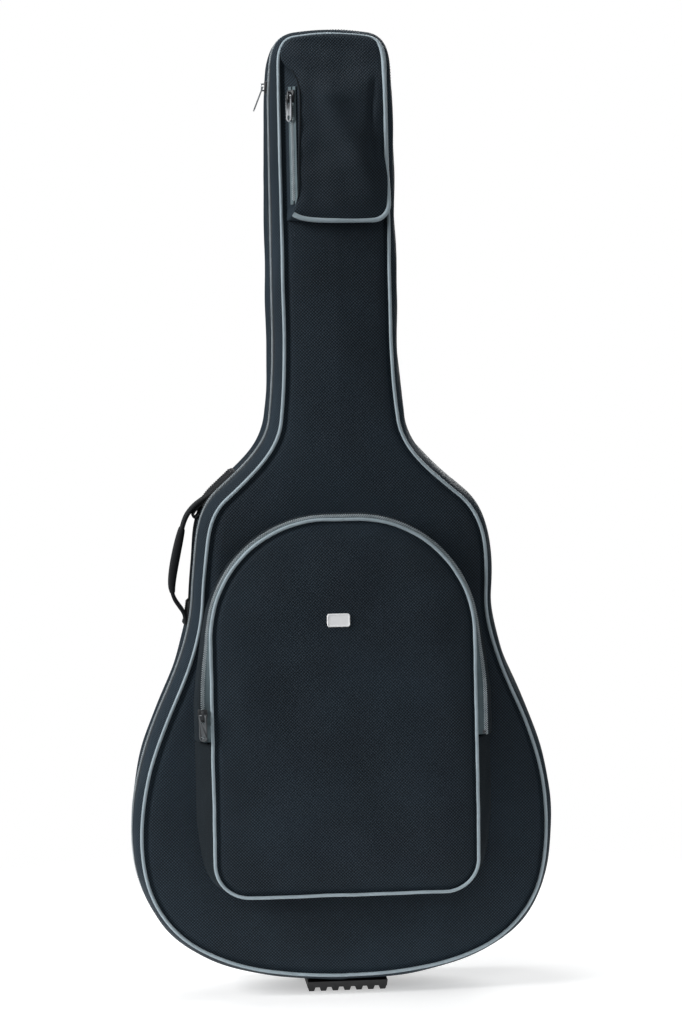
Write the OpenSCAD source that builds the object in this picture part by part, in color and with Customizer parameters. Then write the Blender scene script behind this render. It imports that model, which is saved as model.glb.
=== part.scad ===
// Padded gig bag for a full-size acoustic guitar, standing upright on its rubber foot.
// +Z is up, the front faces -Y, and the origin is the centre of the foot's lower face.
// The bag is two padded trays, a rear shell and a front lid, that meet at a zip at mid-depth.

/* [Outline] */
// Height between the bottom seam and the top seam
seam_h = 1070; // [1040:5:1100]
// Width between the seams at the lower bout
lower_bout_w = 467; // [455:1:480]
// Width between the seams where the waist turns inwards
waist_w = 400; // [392:1:408]
// Width between the seams at the upper bout
upper_bout_w = 326; // [320:1:334]
// Width between the seams halfway down the shoulders
shoulder_w = 264; // [258:1:268]
// Width between the seams at the foot of the neck
neck_root_w = 132; // [130:1:136]
// Width between the seams along the neck
neck_w = 120; // [118:1:124]
// How far the side walls bulge out past the seams
bulge = 10; // [8:1:12]

/* [Depth] */
// Depth between the front and rear panels at the body
body_d = 125; // [120:1:135]
// How far the front panel leans back at the top of the head
front_lean = 30; // [20:1:34]
// How far the rear panel leans forward at the top of the head
rear_lean = 15; // [8:1:18]

/* [Layers] */
// Thickness of the outer cloth
cloth_t = 1.2; // [0.8:0.1:1.6]
// Thickness of the foam in the panels
foam_t = 8; // [6:0.5:10]
// Thickness of the lining
lining_t = 0.8; // [0.5:0.1:1]

/* [Piping and zips] */
// Width of the corded piping
piping_w = 4; // [3:0.5:5]
// Width of each half of the main zip tape
tape_w = 13; // [11:1:15]
// Height of the stretch at the right of the lower bout that has no zip and acts as the hinge
hinge_h = 180; // [140:10:200]
// Play between the two halves of a zip
zip_gap = 0.3; // [0.2:0.1:0.5]

/* [Front pocket] */
// Width of the pocket between its piping
pocket_w = 298; // [290:1:304]
// Height of the pocket between its piping
pocket_h = 424; // [410:1:430]
// Radius of the arch's shoulders
pocket_top_r = 132; // [120:1:136]
// Radius of the bottom corners
pocket_low_r = 38; // [30:1:50]
// Depth of the pouch
pocket_d = 36; // [30:1:40]
// Depth of the pocket at the top of its arch
pocket_top_d = 20; // [16:1:26]

/* [Head pocket] */
// Depth of the small pocket on the head
head_pocket_d = 24; // [18:1:28]
// Height of the small pocket, from its lower edge to the top seam
head_pocket_h = 210; // [190:1:230]

/* [Handle and straps] */
// Width of the carry handle's webbing
handle_w = 28; // [25:1:32]
// Width of the shoulder pads
strap_pad_w = 58; // [50:1:62]
// Thickness of the shoulder pads
strap_pad_t = 11; // [8:1:12]
// Width of the adjusting webbing
webbing_w = 25; // [20:1:28]

/* [Foot] */
// Width of the rubber foot
foot_w = 92; // [80:1:100]
// Depth of the rubber foot, front to back
foot_d = 100; // [90:1:110]
// Number of ribs under the foot
foot_ribs = 7; // [5:2:9]

/* [Hidden] */
$fn = 48;

shell_color = [0.13, 0.16, 0.19];
lining_color = [0.08, 0.08, 0.09];
foam_color = [0.75, 0.75, 0.72];
piping_color = [0.62, 0.68, 0.72];
tape_color = [0.42, 0.5, 0.53];
metal_color = [0.25, 0.26, 0.28];
black = [0.05, 0.05, 0.06];
reach = 400;

// Foot and bottom seam
rib_h = 5;
foot_h = 14;
seam_z = foot_h + bulge;
top_z = seam_z + seam_h;

// Side view: where the panels start to lean, and the front and rear planes
lean_z = seam_z + 0.55 * seam_h;
front_y = -body_d / 2;
rear_y = body_d / 2;
panel_t = cloth_t + foam_t + lining_t;
function lean(z) = max(0, (z - lean_z) / (top_z - lean_z));
function front_at(z) = front_y + front_lean * lean(z);
function rear_at(z) = rear_y - rear_lean * lean(z);

// Stations up the right-hand half of the seam: half-width, height, heading in degrees from +X,
// then for the stretch that starts there how strongly it pulls along its headings, and its steps.
corner_r = 20;
stations = [
    [0, seam_z, 0, 1.35, 14],
    [lower_bout_w / 2, seam_z + 0.15 * seam_h, 90, 1, 7],
    [waist_w / 2, seam_z + 0.285 * seam_h, 114, 1, 6],
    [upper_bout_w / 2, seam_z + 0.405 * seam_h, 90, 1, 7],
    [shoulder_w / 2, seam_z + 0.512 * seam_h, 139.5, 1, 7],
    [neck_root_w / 2, seam_z + 0.594 * seam_h, 97, 1, 4],
    [neck_w / 2, seam_z + 0.688 * seam_h, 90, 1, 1],
    [neck_w / 2, seam_z + 0.953 * seam_h, 90, 1.3, 8],
    [neck_w / 2 - corner_r, top_z - 3, 172, 1, 3],
    [0, top_z, 180, 1, 1]];

// Cubic from station a to station b, and its slope, at t from 0 to 1
function pull(a, b) = a[3] * norm([b[0] - a[0], b[1] - a[1]]);
function seam_at(a, b, t) =
    (2 * t ^ 3 - 3 * t ^ 2 + 1) * [a[0], a[1]] + (3 * t ^ 2 - 2 * t ^ 3) * [b[0], b[1]]
    + pull(a, b) * ((t ^ 3 - 2 * t ^ 2 + t) * [cos(a[2]), sin(a[2])]
    + (t ^ 3 - t ^ 2) * [cos(b[2]), sin(b[2])]);
function slope_at(a, b, t) =
    (6 * t ^ 2 - 6 * t) * [a[0] - b[0], a[1] - b[1]]
    + pull(a, b) * ((3 * t ^ 2 - 4 * t + 1) * [cos(a[2]), sin(a[2])]
    + (3 * t ^ 2 - 2 * t) * [cos(b[2]), sin(b[2])]);
function outward(v) = [v[1], -v[0]] / norm(v);
function half_outline(d) = concat(
    [for (i = [0 : len(stations) - 2]) for (s = [0 : stations[i][4] - 1])
        let (a = stations[i], b = stations[i + 1], t = s / a[4])
        seam_at(a, b, t) + d * outward(slope_at(a, b, t))],
    [[0, top_z + d]]);
function outline(d) = let (h = half_outline(d), n = len(h))
    concat(h, [for (i = [n - 2 : -1 : 1]) [-h[i][0], h[i][1]]]);

// A flat shape in the XZ plane, carried from y0 to y1
module upright(y0, y1) {
    translate([0, y1, 0]) rotate([90, 0, 0]) linear_extrude(y1 - y0) children();
}

// A shape in the YZ plane, carried across the whole width
module side_view(points) {
    rotate([90, 0, 90]) translate([0, 0, -reach]) linear_extrude(2 * reach) polygon(points);
}

module seam_shape(d) {
    polygon(outline(d));
}

module seam_ring(d_out, d_in) {
    difference() {
        polygon(outline(d_out));
        polygon(outline(d_in));
    }
}

// The space from d0 to d1 behind the front plane, or from d0 to d1 in from the rear plane
module front_slab(d0, d1) {
    side_view([[front_y + d0, -20], [front_y + d0, lean_z], [front_at(1200) + d0, 1200],
        [front_at(1200) + d1, 1200], [front_y + d1, lean_z], [front_y + d1, -20]]);
}

module rear_slab(d0, d1) {
    side_view([[rear_y - d0, -20], [rear_y - d0, lean_z], [rear_at(1200) - d0, 1200],
        [rear_at(1200) - d1, 1200], [rear_y - d1, lean_z], [rear_y - d1, -20]]);
}

module front_layer(d0, d1, d_seam) {
    intersection() {
        upright(-reach, 0) seam_shape(d_seam);
        front_slab(d0, d1);
    }
}

module rear_layer(d0, d1, d_seam) {
    intersection() {
        upright(0, reach) seam_shape(d_seam);
        rear_slab(d0, d1);
    }
}

// A wall that follows the outline from the front plane back to y, or from y to the rear plane
module front_wall(d_out, d_in, y) {
    intersection() {
        upright(-reach, y) seam_ring(d_out, d_in);
        front_slab(0, reach);
    }
}

module rear_wall(d_out, d_in, y) {
    intersection() {
        upright(y, reach) seam_ring(d_out, d_in);
        rear_slab(0, reach);
    }
}

wall_foam_t = bulge - cloth_t - lining_t;
hinge_z = seam_z + 0.15 * seam_h;
side_x = lower_bout_w / 2 + bulge;

module hinge_zone() {
    translate([side_x - 60, -tape_w - 2, hinge_z - hinge_h / 2]) cube([80, 2 * tape_w + 4, hinge_h]);
}

// ---- Rear shell ----

module back_panel() {
    color(shell_color) rear_layer(0, cloth_t, 0);
}

module back_foam() {
    color(foam_color) rear_layer(cloth_t, cloth_t + foam_t, 0);
}

module back_lining() {
    color(lining_color) rear_layer(cloth_t + foam_t, panel_t, 0);
}

module rear_gusset() {
    color(shell_color) rear_wall(bulge, bulge - cloth_t, tape_w + 1.5);
}

module rear_gusset_foam() {
    color(foam_color) rear_wall(bulge - cloth_t, lining_t, 2);
}

module rear_gusset_lining() {
    color(lining_color) rear_wall(lining_t, 0, 2);
}

module rear_piping() {
    color(piping_color) intersection() {
        upright(0, reach) seam_ring(piping_w / 2, -piping_w / 2);
        rear_slab(-2.5, 0);
    }
}

module rear_zip_tape() {
    color(tape_color) difference() {
        upright(1.5, tape_w + 1.5) seam_ring(bulge, bulge - 1);
        hinge_zone();
    }
}

module rear_zip_teeth() {
    color(metal_color) difference() {
        upright(zip_gap / 2, 1.5) seam_ring(bulge + 0.4, bulge - 1.2);
        hinge_zone();
    }
}

// Two small metal clamps, one at each end of the main zip
module zip_stops() {
    color(metal_color) for (s = [-1, 1])
        intersection() {
            upright(1.5, 6) seam_ring(bulge + 1.6, bulge);
            translate([side_x - 60, 0, hinge_z + s * (hinge_h / 2 + 5) - 3]) cube([80, 20, 6]);
        }
}

module hinge_panel() {
    color(shell_color) intersection() {
        upright(zip_gap / 2, tape_w + 1.5) seam_ring(bulge, bulge - cloth_t);
        hinge_zone();
    }
}

rib_pitch = foot_w / (foot_ribs - 0.3);

// Ribbed rubber foot: it is fixed to the rear shell, and the lid passes over its front half
module foot_bumper() {
    color(black) {
        translate([-foot_w / 2, -foot_d / 2, rib_h]) cube([foot_w, foot_d, foot_h - 0.5 - rib_h]);
        translate([-foot_w / 2 + 6, 6, foot_h - 1]) cube([foot_w - 12, foot_d / 2 - 12, 1]);
        for (i = [0 : foot_ribs - 1])
            translate([(i - (foot_ribs - 1) / 2) * rib_pitch, -foot_d / 2, 0])
                rotate([-90, 0, 0]) linear_extrude(foot_d)
                    polygon([[-3, 0], [3, 0], [4.6, -rib_h - 1], [-4.6, -rib_h - 1]]);
    }
}

// ---- Carry handle on the left side of the rear shell ----

handle_y = 30;
handle_t = 3;
// The moving band's two ends: between them it swings, beyond them it is part of its anchors
handle_low = [-186.5, 455.5];
handle_top = [-171.5, 551];
handle_tilt = atan2(handle_top[0] - handle_low[0], handle_top[1] - handle_low[1]);
handle_play = 0.4;
handle_path = [[-146, 569], [-153, 566], [-164, 559], [-174, 547], [-181, 528], [-187, 503],
    [-192, 478], [-192, 466], [-186, 454], [-182, 447], [-178, 440.5], [-175, 432]];

// Points of a band of thickness t on either side of a path
function direction(p, i) = p[min(i + 1, len(p) - 1)] - p[max(i - 1, 0)];
function band(p, t) = concat(
    [for (i = [0 : len(p) - 1]) p[i] + t / 2 * outward(direction(p, i))],
    [for (i = [len(p) - 1 : -1 : 0]) p[i] - t / 2 * outward(direction(p, i))]);

// The half plane beyond an end of the moving band, square to the line it swings about
module beyond(end, up) {
    translate(end) rotate(-handle_tilt) translate([-40, up ? 0 : -80]) square([80, 80]);
}

module handle() {
    color(black) upright(handle_y - handle_w / 2, handle_y + handle_w / 2) difference() {
        polygon(band(handle_path, handle_t));
        beyond(handle_top, true);
        beyond(handle_low, false);
    }
}

// A tab stitched flat on the side wall, with the stretch of webbing that leaves it
module handle_anchor(z0, z1, end, up) {
    color(black) {
        intersection() {
            upright(handle_y - handle_w / 2 - 2, handle_y + handle_w / 2 + 2) seam_ring(bulge + 2.4, bulge);
            translate([-reach, 0, z0]) cube([reach, 100, z1 - z0]);
        }
        upright(handle_y - handle_w / 2, handle_y + handle_w / 2) difference() {
            intersection() {
                polygon(band(handle_path, handle_t));
                beyond(end, up);
            }
            seam_shape(bulge);
        }
    }
}

module handle_anchor_upper() {
    handle_anchor(553, 592, handle_top + [0, handle_play], true);
}

module handle_anchor_lower() {
    handle_anchor(418, 450, handle_low - [0, handle_play], false);
}

// ---- Back: yoke, shoulder straps, hanging loop ----

patch_t = 2;
strap_y = rear_y + patch_t + 0.8;
strap_top = [50, 600];
strap_mid = [118, 440];
strap_low = [128, 262];
strap_end = [130, 152];
strap_axis_top = [22, 604];
strap_axis_low = [117, 150];

module back_yoke() {
    color(shell_color) upright(rear_y, rear_y + patch_t)
        polygon([[-84, 556], [84, 556], [70, 606], [-70, 606]]);
}

// Curve from the top of a shoulder pad to its lower end, as the cubic through its two headings
function strap_curve(t) = (1 - t) ^ 3 * strap_top + 3 * (1 - t) ^ 2 * t * [96, 560]
    + 3 * (1 - t) * t ^ 2 * [134, 400] + t ^ 3 * strap_low;
strap_steps = 14;
strap_points = [for (i = [0 : strap_steps]) strap_curve(i / strap_steps)];

module strap_pad() {
    color(shell_color) upright(strap_y, strap_y + strap_pad_t) {
        polygon(band(strap_points, strap_pad_w));
    }
}

module ladder_lock() {
    color(black) difference() {
        translate([strap_low[0] - 17, strap_y + 1, strap_low[1] - 32]) cube([34, 5, 24]);
        for (z = [5, 11, 17])
            translate([strap_low[0] - 13.5, strap_y, strap_low[1] - 32 + z - 1.5]) cube([27, 8, 3]);
    }
}

// Webbing: a short length sewn into the pad, and the long one from the buckle to the anchor
module strap_webbing() {
    color(black) {
        upright(strap_y + 6.4, strap_y + 8.4) polygon(
            band([strap_low + [0, -0.2], strap_low - [0, 28]], webbing_w));
        upright(strap_y + 6.4, strap_y + 8.4) polygon(
            band([strap_low - [0, 31], (strap_low + strap_end) / 2 + [1, 0], strap_end], webbing_w));
    }
}

// The two stitched patches that hold the lower ends of the straps
module strap_anchors() {
    color(shell_color) upright(rear_y, rear_y + patch_t)
        for (s = [-1, 1])
            polygon([[s * 104, 96], [s * 160, 104], [s * 146, 146], [s * 116, 146]]);
}

module strap_pad_left() {
    mirror([1, 0, 0]) strap_pad();
}

module strap_webbing_left() {
    mirror([1, 0, 0]) strap_webbing();
}

module ladder_lock_left() {
    mirror([1, 0, 0]) ladder_lock();
}

module strap_pad_right() {
    strap_pad();
}

module strap_webbing_right() {
    strap_webbing();
}

module ladder_lock_right() {
    ladder_lock();
}

loop_z = top_z - 26;
loop_w = 24;
loop_l = 62;
loop_turn_z = loop_z - 11;
loop_y = rear_at(loop_turn_z) + 6.4;

module loop_patch() {
    color(black) intersection() {
        rear_slab(-1.8, 0);
        upright(0, reach) translate([-loop_w / 2 - 4, loop_z - 6]) square([loop_w + 8, 28]);
    }
}

// Webbing folded into a flat eye that hangs below its stitched patch
module hang_loop() {
    color(black) translate([-loop_w / 2, loop_y, loop_turn_z])
        rotate([atan(rear_lean / (top_z - lean_z)), 0, 0]) rotate([90, 0, 90])
            linear_extrude(loop_w) difference() {
                union() {
                    translate([0, 8 - loop_l]) circle(r = 6);
                    translate([-6, 8 - loop_l]) square([12, loop_l - 8]);
                    circle(r = 6);
                }
                translate([0, 8 - loop_l]) circle(r = 4.2);
                translate([-4.2, 8 - loop_l]) square([8.4, loop_l - 8]);
                circle(r = 4.2);
            }
}

// ---- Inside the rear shell ----

cradle_z = seam_z + 0.63 * seam_h;
cradle_h = 60;
cradle_w = 104;
cradle_y = 14;
neck_r = 27;

module neck_cradle() {
    color(lining_color) difference() {
        intersection() {
            translate([-cradle_w / 2, cradle_y, cradle_z]) cube([cradle_w, 60, cradle_h]);
            rear_slab(panel_t, reach);
        }
        translate([0, cradle_y, cradle_z - 1]) cylinder(r = neck_r, h = cradle_h + 2);
    }
}

neck_strap_w = 30;
neck_strap_y = -18;

// Hook-and-loop strap that closes over the neck, sewn to both sides of the cradle
module neck_strap() {
    color(black) translate([0, 0, cradle_z + (cradle_h - neck_strap_w) / 2]) {
        difference() {
            translate([-40, neck_strap_y, 0]) cube([80, cradle_y - neck_strap_y, neck_strap_w]);
            translate([-37.8, neck_strap_y + 2.2, -1])
                cube([75.6, cradle_y - neck_strap_y, neck_strap_w + 2]);
        }
    }
}

module endpin_pad() {
    color(lining_color) intersection() {
        upright(4, rear_y - panel_t) seam_ring(0, -12);
        translate([-60, 0, 0]) cube([120, 100, 90]);
    }
}

module head_pad() {
    color(lining_color) intersection() {
        upright(4, 100) seam_ring(0, -10);
        rear_slab(panel_t, reach);
        translate([-100, 0, top_z - 40]) cube([200, 100, 60]);
    }
}

// ---- Front lid ----

module front_panel() {
    color(shell_color) front_layer(0, cloth_t, 0);
}

module front_foam() {
    color(foam_color) front_layer(cloth_t, cloth_t + foam_t, 0);
}

module front_lining() {
    color(lining_color) front_layer(cloth_t + foam_t, panel_t, 0);
}

module front_gusset() {
    color(shell_color) front_wall(bulge, bulge - cloth_t, -tape_w - 1.5);
}

module front_gusset_foam() {
    color(foam_color) front_wall(bulge - cloth_t, lining_t, -2);
}

module front_gusset_lining() {
    color(lining_color) front_wall(lining_t, 0, -2);
}

module front_piping() {
    color(piping_color) intersection() {
        upright(-reach, 0) seam_ring(piping_w / 2, -piping_w / 2);
        front_slab(-2.5, 0);
    }
}

module front_zip_tape() {
    color(tape_color) difference() {
        upright(-tape_w - 1.5, -1.5) seam_ring(bulge, bulge - 1);
        hinge_zone();
    }
}

module front_zip_teeth() {
    color(metal_color) difference() {
        upright(-1.5, -zip_gap / 2) seam_ring(bulge + 0.4, bulge - 1.2);
        hinge_zone();
    }
}

// ---- Front pocket: a pouch below, and an arched flap that a zip closes above it ----

pocket_x = -2.5;
pocket_z = seam_z + 100;
pocket_top = pocket_z + pocket_h;
fold_z = 300;
pocket_wall = 12;
cloth_pad_t = 3;
coil_w = 1.3;
coil_at = 4.2;

// Arched outline of the pocket, d outside its piping line
module pocket_shape(d) {
    half = pocket_w / 2;
    translate([pocket_x, 0]) {
        for (s = [-1, 1]) {
            translate([s * (half - pocket_top_r), pocket_top - pocket_top_r]) circle(r = pocket_top_r + d);
            translate([s * (half - pocket_low_r), pocket_z + pocket_low_r]) circle(r = pocket_low_r + d);
        }
        translate([-half - d, pocket_z + pocket_low_r])
            square([pocket_w + 2 * d, pocket_h - pocket_low_r - pocket_top_r]);
        translate([pocket_top_r - half, pocket_top - pocket_top_r])
            square([pocket_w - 2 * pocket_top_r, pocket_top_r + d]);
        translate([pocket_low_r - half, pocket_z - d])
            square([pocket_w - 2 * pocket_low_r, pocket_low_r + d]);
    }
}

module pocket_ring(d_out, d_in) {
    difference() {
        pocket_shape(d_out);
        pocket_shape(d_in);
    }
}

// The space from d0 to d1 behind the pocket's front, which leans back above the fold
pocket_lean = (pocket_d - pocket_top_d) / (pocket_top - fold_z);
pocket_y = front_y - pocket_d;
function pocket_front(z) = pocket_y + pocket_lean * max(0, z - fold_z);

module pocket_slab(d0, d1) {
    side_view([[pocket_y + d0, 0], [pocket_y + d0, fold_z], [pocket_front(600) + d0, 600],
        [pocket_front(600) + d1, 600], [pocket_y + d1, fold_z], [pocket_y + d1, 0]]);
}

module below_fold() {
    translate([-reach, -200, 0]) cube([2 * reach, 200, fold_z - 0.2]);
}

module above_fold() {
    translate([-reach, -200, fold_z + 0.2]) cube([2 * reach, 200, reach]);
}

module pouch_panel() {
    color(shell_color) intersection() {
        upright(-200, 0) pocket_shape(0);
        pocket_slab(0, cloth_pad_t);
        below_fold();
    }
}

module pouch_piping() {
    color(piping_color) intersection() {
        upright(-200, 0) pocket_ring(piping_w / 2, -piping_w / 2);
        pocket_slab(-2.5, 0);
        below_fold();
    }
}

// Side wall of the pouch, with the narrow return that is sewn to the piping
module pouch_gusset() {
    color(black) intersection() {
        union() {
            upright(pocket_y, front_y) pocket_ring(pocket_wall, pocket_wall - 1.2);
            upright(pocket_y, pocket_y + 1.2) pocket_ring(pocket_wall - 1, 0);
        }
        below_fold();
    }
}

module arch_gusset() {
    color(black) intersection() {
        upright(-200, front_y) pocket_ring(pocket_wall, pocket_wall - 1.2);
        pocket_slab(0, reach);
        above_fold();
    }
}

module arch_zip_tape() {
    color(tape_color) intersection() {
        upright(-200, front_y) pocket_ring(pocket_wall - 1.2, coil_at + 2 * coil_w + zip_gap);
        pocket_slab(0, 1);
        above_fold();
    }
}

module arch_zip_teeth() {
    color(metal_color) intersection() {
        upright(-200, front_y) pocket_ring(coil_at + 2 * coil_w + zip_gap, coil_at + coil_w + zip_gap);
        pocket_slab(-0.4, 1.6);
        above_fold();
    }
}

// Small metal clamps at the two ends of the arched zip
module arch_zip_stops() {
    color(metal_color) intersection() {
        for (s = [-1, 1])
            translate([pocket_x + s * (pocket_w / 2 + coil_at + 2 * coil_w + zip_gap + 2) - 1.9,
                pocket_y - 5, fold_z + 3])
                cube([3.8, 10, 4]);
        pocket_slab(-1.2, 0);
    }
}

module flap_panel() {
    color(shell_color) intersection() {
        upright(-200, 0) pocket_shape(0);
        pocket_slab(0, cloth_pad_t);
        above_fold();
    }
}

module flap_piping() {
    color(piping_color) intersection() {
        upright(-200, 0) pocket_ring(piping_w / 2, -piping_w / 2);
        pocket_slab(-2.5, 0);
        above_fold();
    }
}

module flap_zip_tape() {
    color(tape_color) intersection() {
        upright(-200, front_y) pocket_ring(coil_at, 0);
        pocket_slab(0, 1);
        above_fold();
    }
}

module flap_zip_teeth() {
    color(metal_color) intersection() {
        upright(-200, front_y) pocket_ring(coil_at + coil_w, coil_at);
        pocket_slab(-0.4, 1.6);
        above_fold();
    }
}

label_w = 26;
label_h = 15;
label_at = [-8, 436];

module label_patch() {
    color("white") intersection() {
        upright(-200, 0) translate(label_at - [label_w, label_h] / 2) square([label_w, label_h]);
        pocket_slab(-1.2, 0);
    }
}

// ---- Head pocket: a shallow box with a zip up its slanted left wall ----

head_z = top_z - head_pocket_h;
head_base_x = -54;
head_edge_x = -36;
head_low_r = 18;
head_wall = 1.6;
head_mid = [(head_base_x + head_edge_x) / 2, -head_pocket_d / 2];
head_face_angle = atan2(head_pocket_d, head_edge_x - head_base_x);
head_lean = front_lean / (top_z - lean_z);
head_zip_z = [head_z + 22, top_z - 62];

module head_pocket_shape(d) {
    right = neck_w / 2 - 1 + d;
    low = head_z - d;
    intersection() {
        seam_shape(-1 + d);
        union() {
            translate([head_base_x - d, head_z + head_low_r]) square([right - head_base_x + d, reach]);
            translate([head_base_x - d + head_low_r, low]) square([right - head_base_x + d - 2 * head_low_r, 60]);
            for (x = [head_base_x - d + head_low_r, right - head_low_r])
                translate([x, low + head_low_r]) circle(r = head_low_r);
        }
    }
}

// The space in front of the lid up to the pocket's front, inset by d, with the left corner cut away
module head_pocket_space(d) {
    intersection() {
        upright(-200, 0) head_pocket_shape(-d);
        front_slab(-head_pocket_d + d, 0);
        translate([0, front_y, lean_z]) rotate([-atan(head_lean), 0, 0]) linear_extrude(reach + 200)
                polygon([[head_base_x + 1.2 * d, 20], [head_base_x + 1.2 * d, 0],
                    [head_edge_x + 1.2 * d, -head_pocket_d], [head_edge_x + 1.2 * d, -head_pocket_d - 20],
                    [100, -head_pocket_d - 20], [100, 20]]);
    }
}

// Places children on the slanted wall at height z: their +Z runs up it and their -Y points away from it
module on_head_face(z) {
    translate([head_mid[0], front_at(z) + head_mid[1], z])
        rotate([-atan(head_lean), 0, 0]) rotate([0, 0, -head_face_angle]) children();
}

module head_pocket() {
    zip_l = head_zip_z[1] - head_zip_z[0];
    color(shell_color) difference() {
        head_pocket_space(0);
        head_pocket_space(head_wall);
        on_head_face((head_zip_z[0] + head_zip_z[1]) / 2)
            translate([-2.5, -3, -zip_l / 2]) cube([5, 8, zip_l]);
        front_piping();
    }
}

module head_pocket_piping() {
    color(piping_color) intersection() {
        difference() {
            upright(-200, 0) head_pocket_shape(1);
            upright(-201, 1) head_pocket_shape(-3);
        }
        front_slab(-head_pocket_d - 2.5, -head_pocket_d);
        translate([head_edge_x + 2, -200, 0]) cube([reach, 200, top_z - 8]);
    }
}

module head_zip_tape() {
    zip_l = head_zip_z[1] - head_zip_z[0];
    color(tape_color) on_head_face((head_zip_z[0] + head_zip_z[1]) / 2)
        for (s = [-1, 1]) translate([s * 4.3 - 2.8, -1.1, -zip_l / 2 - 4]) cube([5.6, 0.9, zip_l + 8]);
}

module head_zip_teeth() {
    zip_l = head_zip_z[1] - head_zip_z[0];
    color(metal_color) on_head_face((head_zip_z[0] + head_zip_z[1]) / 2)
        for (s = [-1, 1]) translate([s * 0.8 - 0.65, -1.5, -zip_l / 2]) cube([1.3, 1.4, zip_l]);
}

// ---- Zip sliders and pulls, drawn with the slide along Z and the face towards -Y ----

bar_y = -5.3;
pull_l = 30;

module slider_shape() {
    color(metal_color) {
        translate([0, -0.3, 0]) rotate([90, 0, 0]) linear_extrude(3)
            polygon([[-5.4, 7], [5.4, 7], [5.4, 0], [4, -7], [-4, -7], [-5.4, 0]]);
        difference() {
            translate([-1.3, -7.6, -4]) cube([2.6, 4.4, 9]);
            translate([-2, -6.5, -2.4]) cube([4, 3.2, 5.8]);
        }
    }
}

// Flat metal pull: a bar through the slider's bridge, a window below it, and a round hole at the end
module pull_shape() {
    color(metal_color) {
        translate([-4.4, bar_y, 0.6]) rotate([0, 90, 0]) cylinder(r = 0.8, h = 8.8);
        difference() {
            translate([0, bar_y + 0.7, 0]) rotate([90, 0, 0]) linear_extrude(1.4) difference() {
                union() {
                    translate([-4.6, -pull_l + 6]) square([9.2, pull_l - 5]);
                    translate([0, -pull_l + 6]) circle(r = 4.6);
                }
                translate([-2, -9]) square([4, 11]);
                translate([0, -pull_l + 6]) circle(r = 2.2);
            }
        }
    }
}

main_slider_z = seam_z + 0.953 * seam_h - 6;
main_slider_x = -neck_w / 2 - bulge - 0.4;
main_pull_tilt = 22;

module at_main_slider() {
    translate([main_slider_x, 6.2, main_slider_z]) rotate([0, 0, -90]) children();
}

module main_slider() {
    at_main_slider() slider_shape();
}

module main_pull() {
    at_main_slider() translate([0, bar_y, 0.6]) rotate([-main_pull_tilt, 0, 0])
        translate([0, -bar_y, -0.6]) pull_shape();
}

pocket_slider_z = 332;
pocket_slider_x = pocket_x - pocket_w / 2 - coil_at - coil_w - zip_gap - 5.5;

module at_pocket_slider() {
    translate([pocket_slider_x, pocket_front(pocket_slider_z) - 0.5, pocket_slider_z])
        rotate([-atan(pocket_lean), 0, 0]) children();
}

module pocket_slider() {
    at_pocket_slider() slider_shape();
}

module pocket_pull() {
    at_pocket_slider() pull_shape();
}

head_slider_z = head_zip_z[1] - 8;

module at_head_slider() {
    on_head_face(head_slider_z) translate([0, -1.4, 0]) children();
}

module head_slider() {
    at_head_slider() slider_shape();
}

module head_pull() {
    at_head_slider() pull_shape();
}

back_panel();
back_foam();
back_lining();
rear_gusset();
rear_gusset_foam();
rear_gusset_lining();
rear_piping();
rear_zip_tape();
rear_zip_teeth();
zip_stops();
hinge_panel();
foot_bumper();
handle_anchor_upper();
handle_anchor_lower();
back_yoke();
strap_anchors();
loop_patch();
neck_cradle();
neck_strap();
endpin_pad();
head_pad();
front_panel();
front_foam();
front_lining();
front_gusset();
front_gusset_foam();
front_gusset_lining();
front_piping();
front_zip_tape();
front_zip_teeth();
pouch_panel();
pouch_gusset();
pouch_piping();
arch_gusset();
arch_zip_tape();
arch_zip_teeth();
arch_zip_stops();
head_pocket();
head_pocket_piping();
head_zip_tape();
head_zip_teeth();
flap_panel();
flap_piping();
flap_zip_tape();
flap_zip_teeth();
label_patch();
main_slider();
main_pull();
pocket_slider();
pocket_pull();
head_slider();
head_pull();
handle();
strap_pad_left();
strap_webbing_left();
ladder_lock_left();
strap_pad_right();
strap_webbing_right();
ladder_lock_right();
hang_loop();
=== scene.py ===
import math

import bmesh
import bpy
import numpy as np
from mathutils import Matrix, Vector


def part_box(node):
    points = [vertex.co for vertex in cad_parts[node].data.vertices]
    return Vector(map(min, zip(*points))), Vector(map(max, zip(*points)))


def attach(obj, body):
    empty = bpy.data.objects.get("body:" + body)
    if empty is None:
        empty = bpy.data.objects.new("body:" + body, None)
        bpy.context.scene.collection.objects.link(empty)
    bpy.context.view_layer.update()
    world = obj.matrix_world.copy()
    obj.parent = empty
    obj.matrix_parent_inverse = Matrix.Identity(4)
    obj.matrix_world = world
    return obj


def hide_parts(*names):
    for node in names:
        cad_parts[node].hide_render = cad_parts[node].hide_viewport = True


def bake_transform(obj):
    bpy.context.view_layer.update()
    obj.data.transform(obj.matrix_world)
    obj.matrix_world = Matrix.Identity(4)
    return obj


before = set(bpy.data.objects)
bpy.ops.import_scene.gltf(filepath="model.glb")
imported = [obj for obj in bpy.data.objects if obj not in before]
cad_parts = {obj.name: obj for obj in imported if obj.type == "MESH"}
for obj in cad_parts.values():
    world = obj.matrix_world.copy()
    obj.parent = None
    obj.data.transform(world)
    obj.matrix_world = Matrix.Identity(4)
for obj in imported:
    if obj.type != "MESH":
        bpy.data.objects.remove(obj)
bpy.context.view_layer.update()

# ---- Studio ----
# A white floor that fades into a white surround, a large soft key light at the left in front of
# the bag, a weak fill at the right and a strip above that picks out the rounded edges.
scene = bpy.context.scene
scene.view_settings.view_transform = "Standard"

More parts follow.
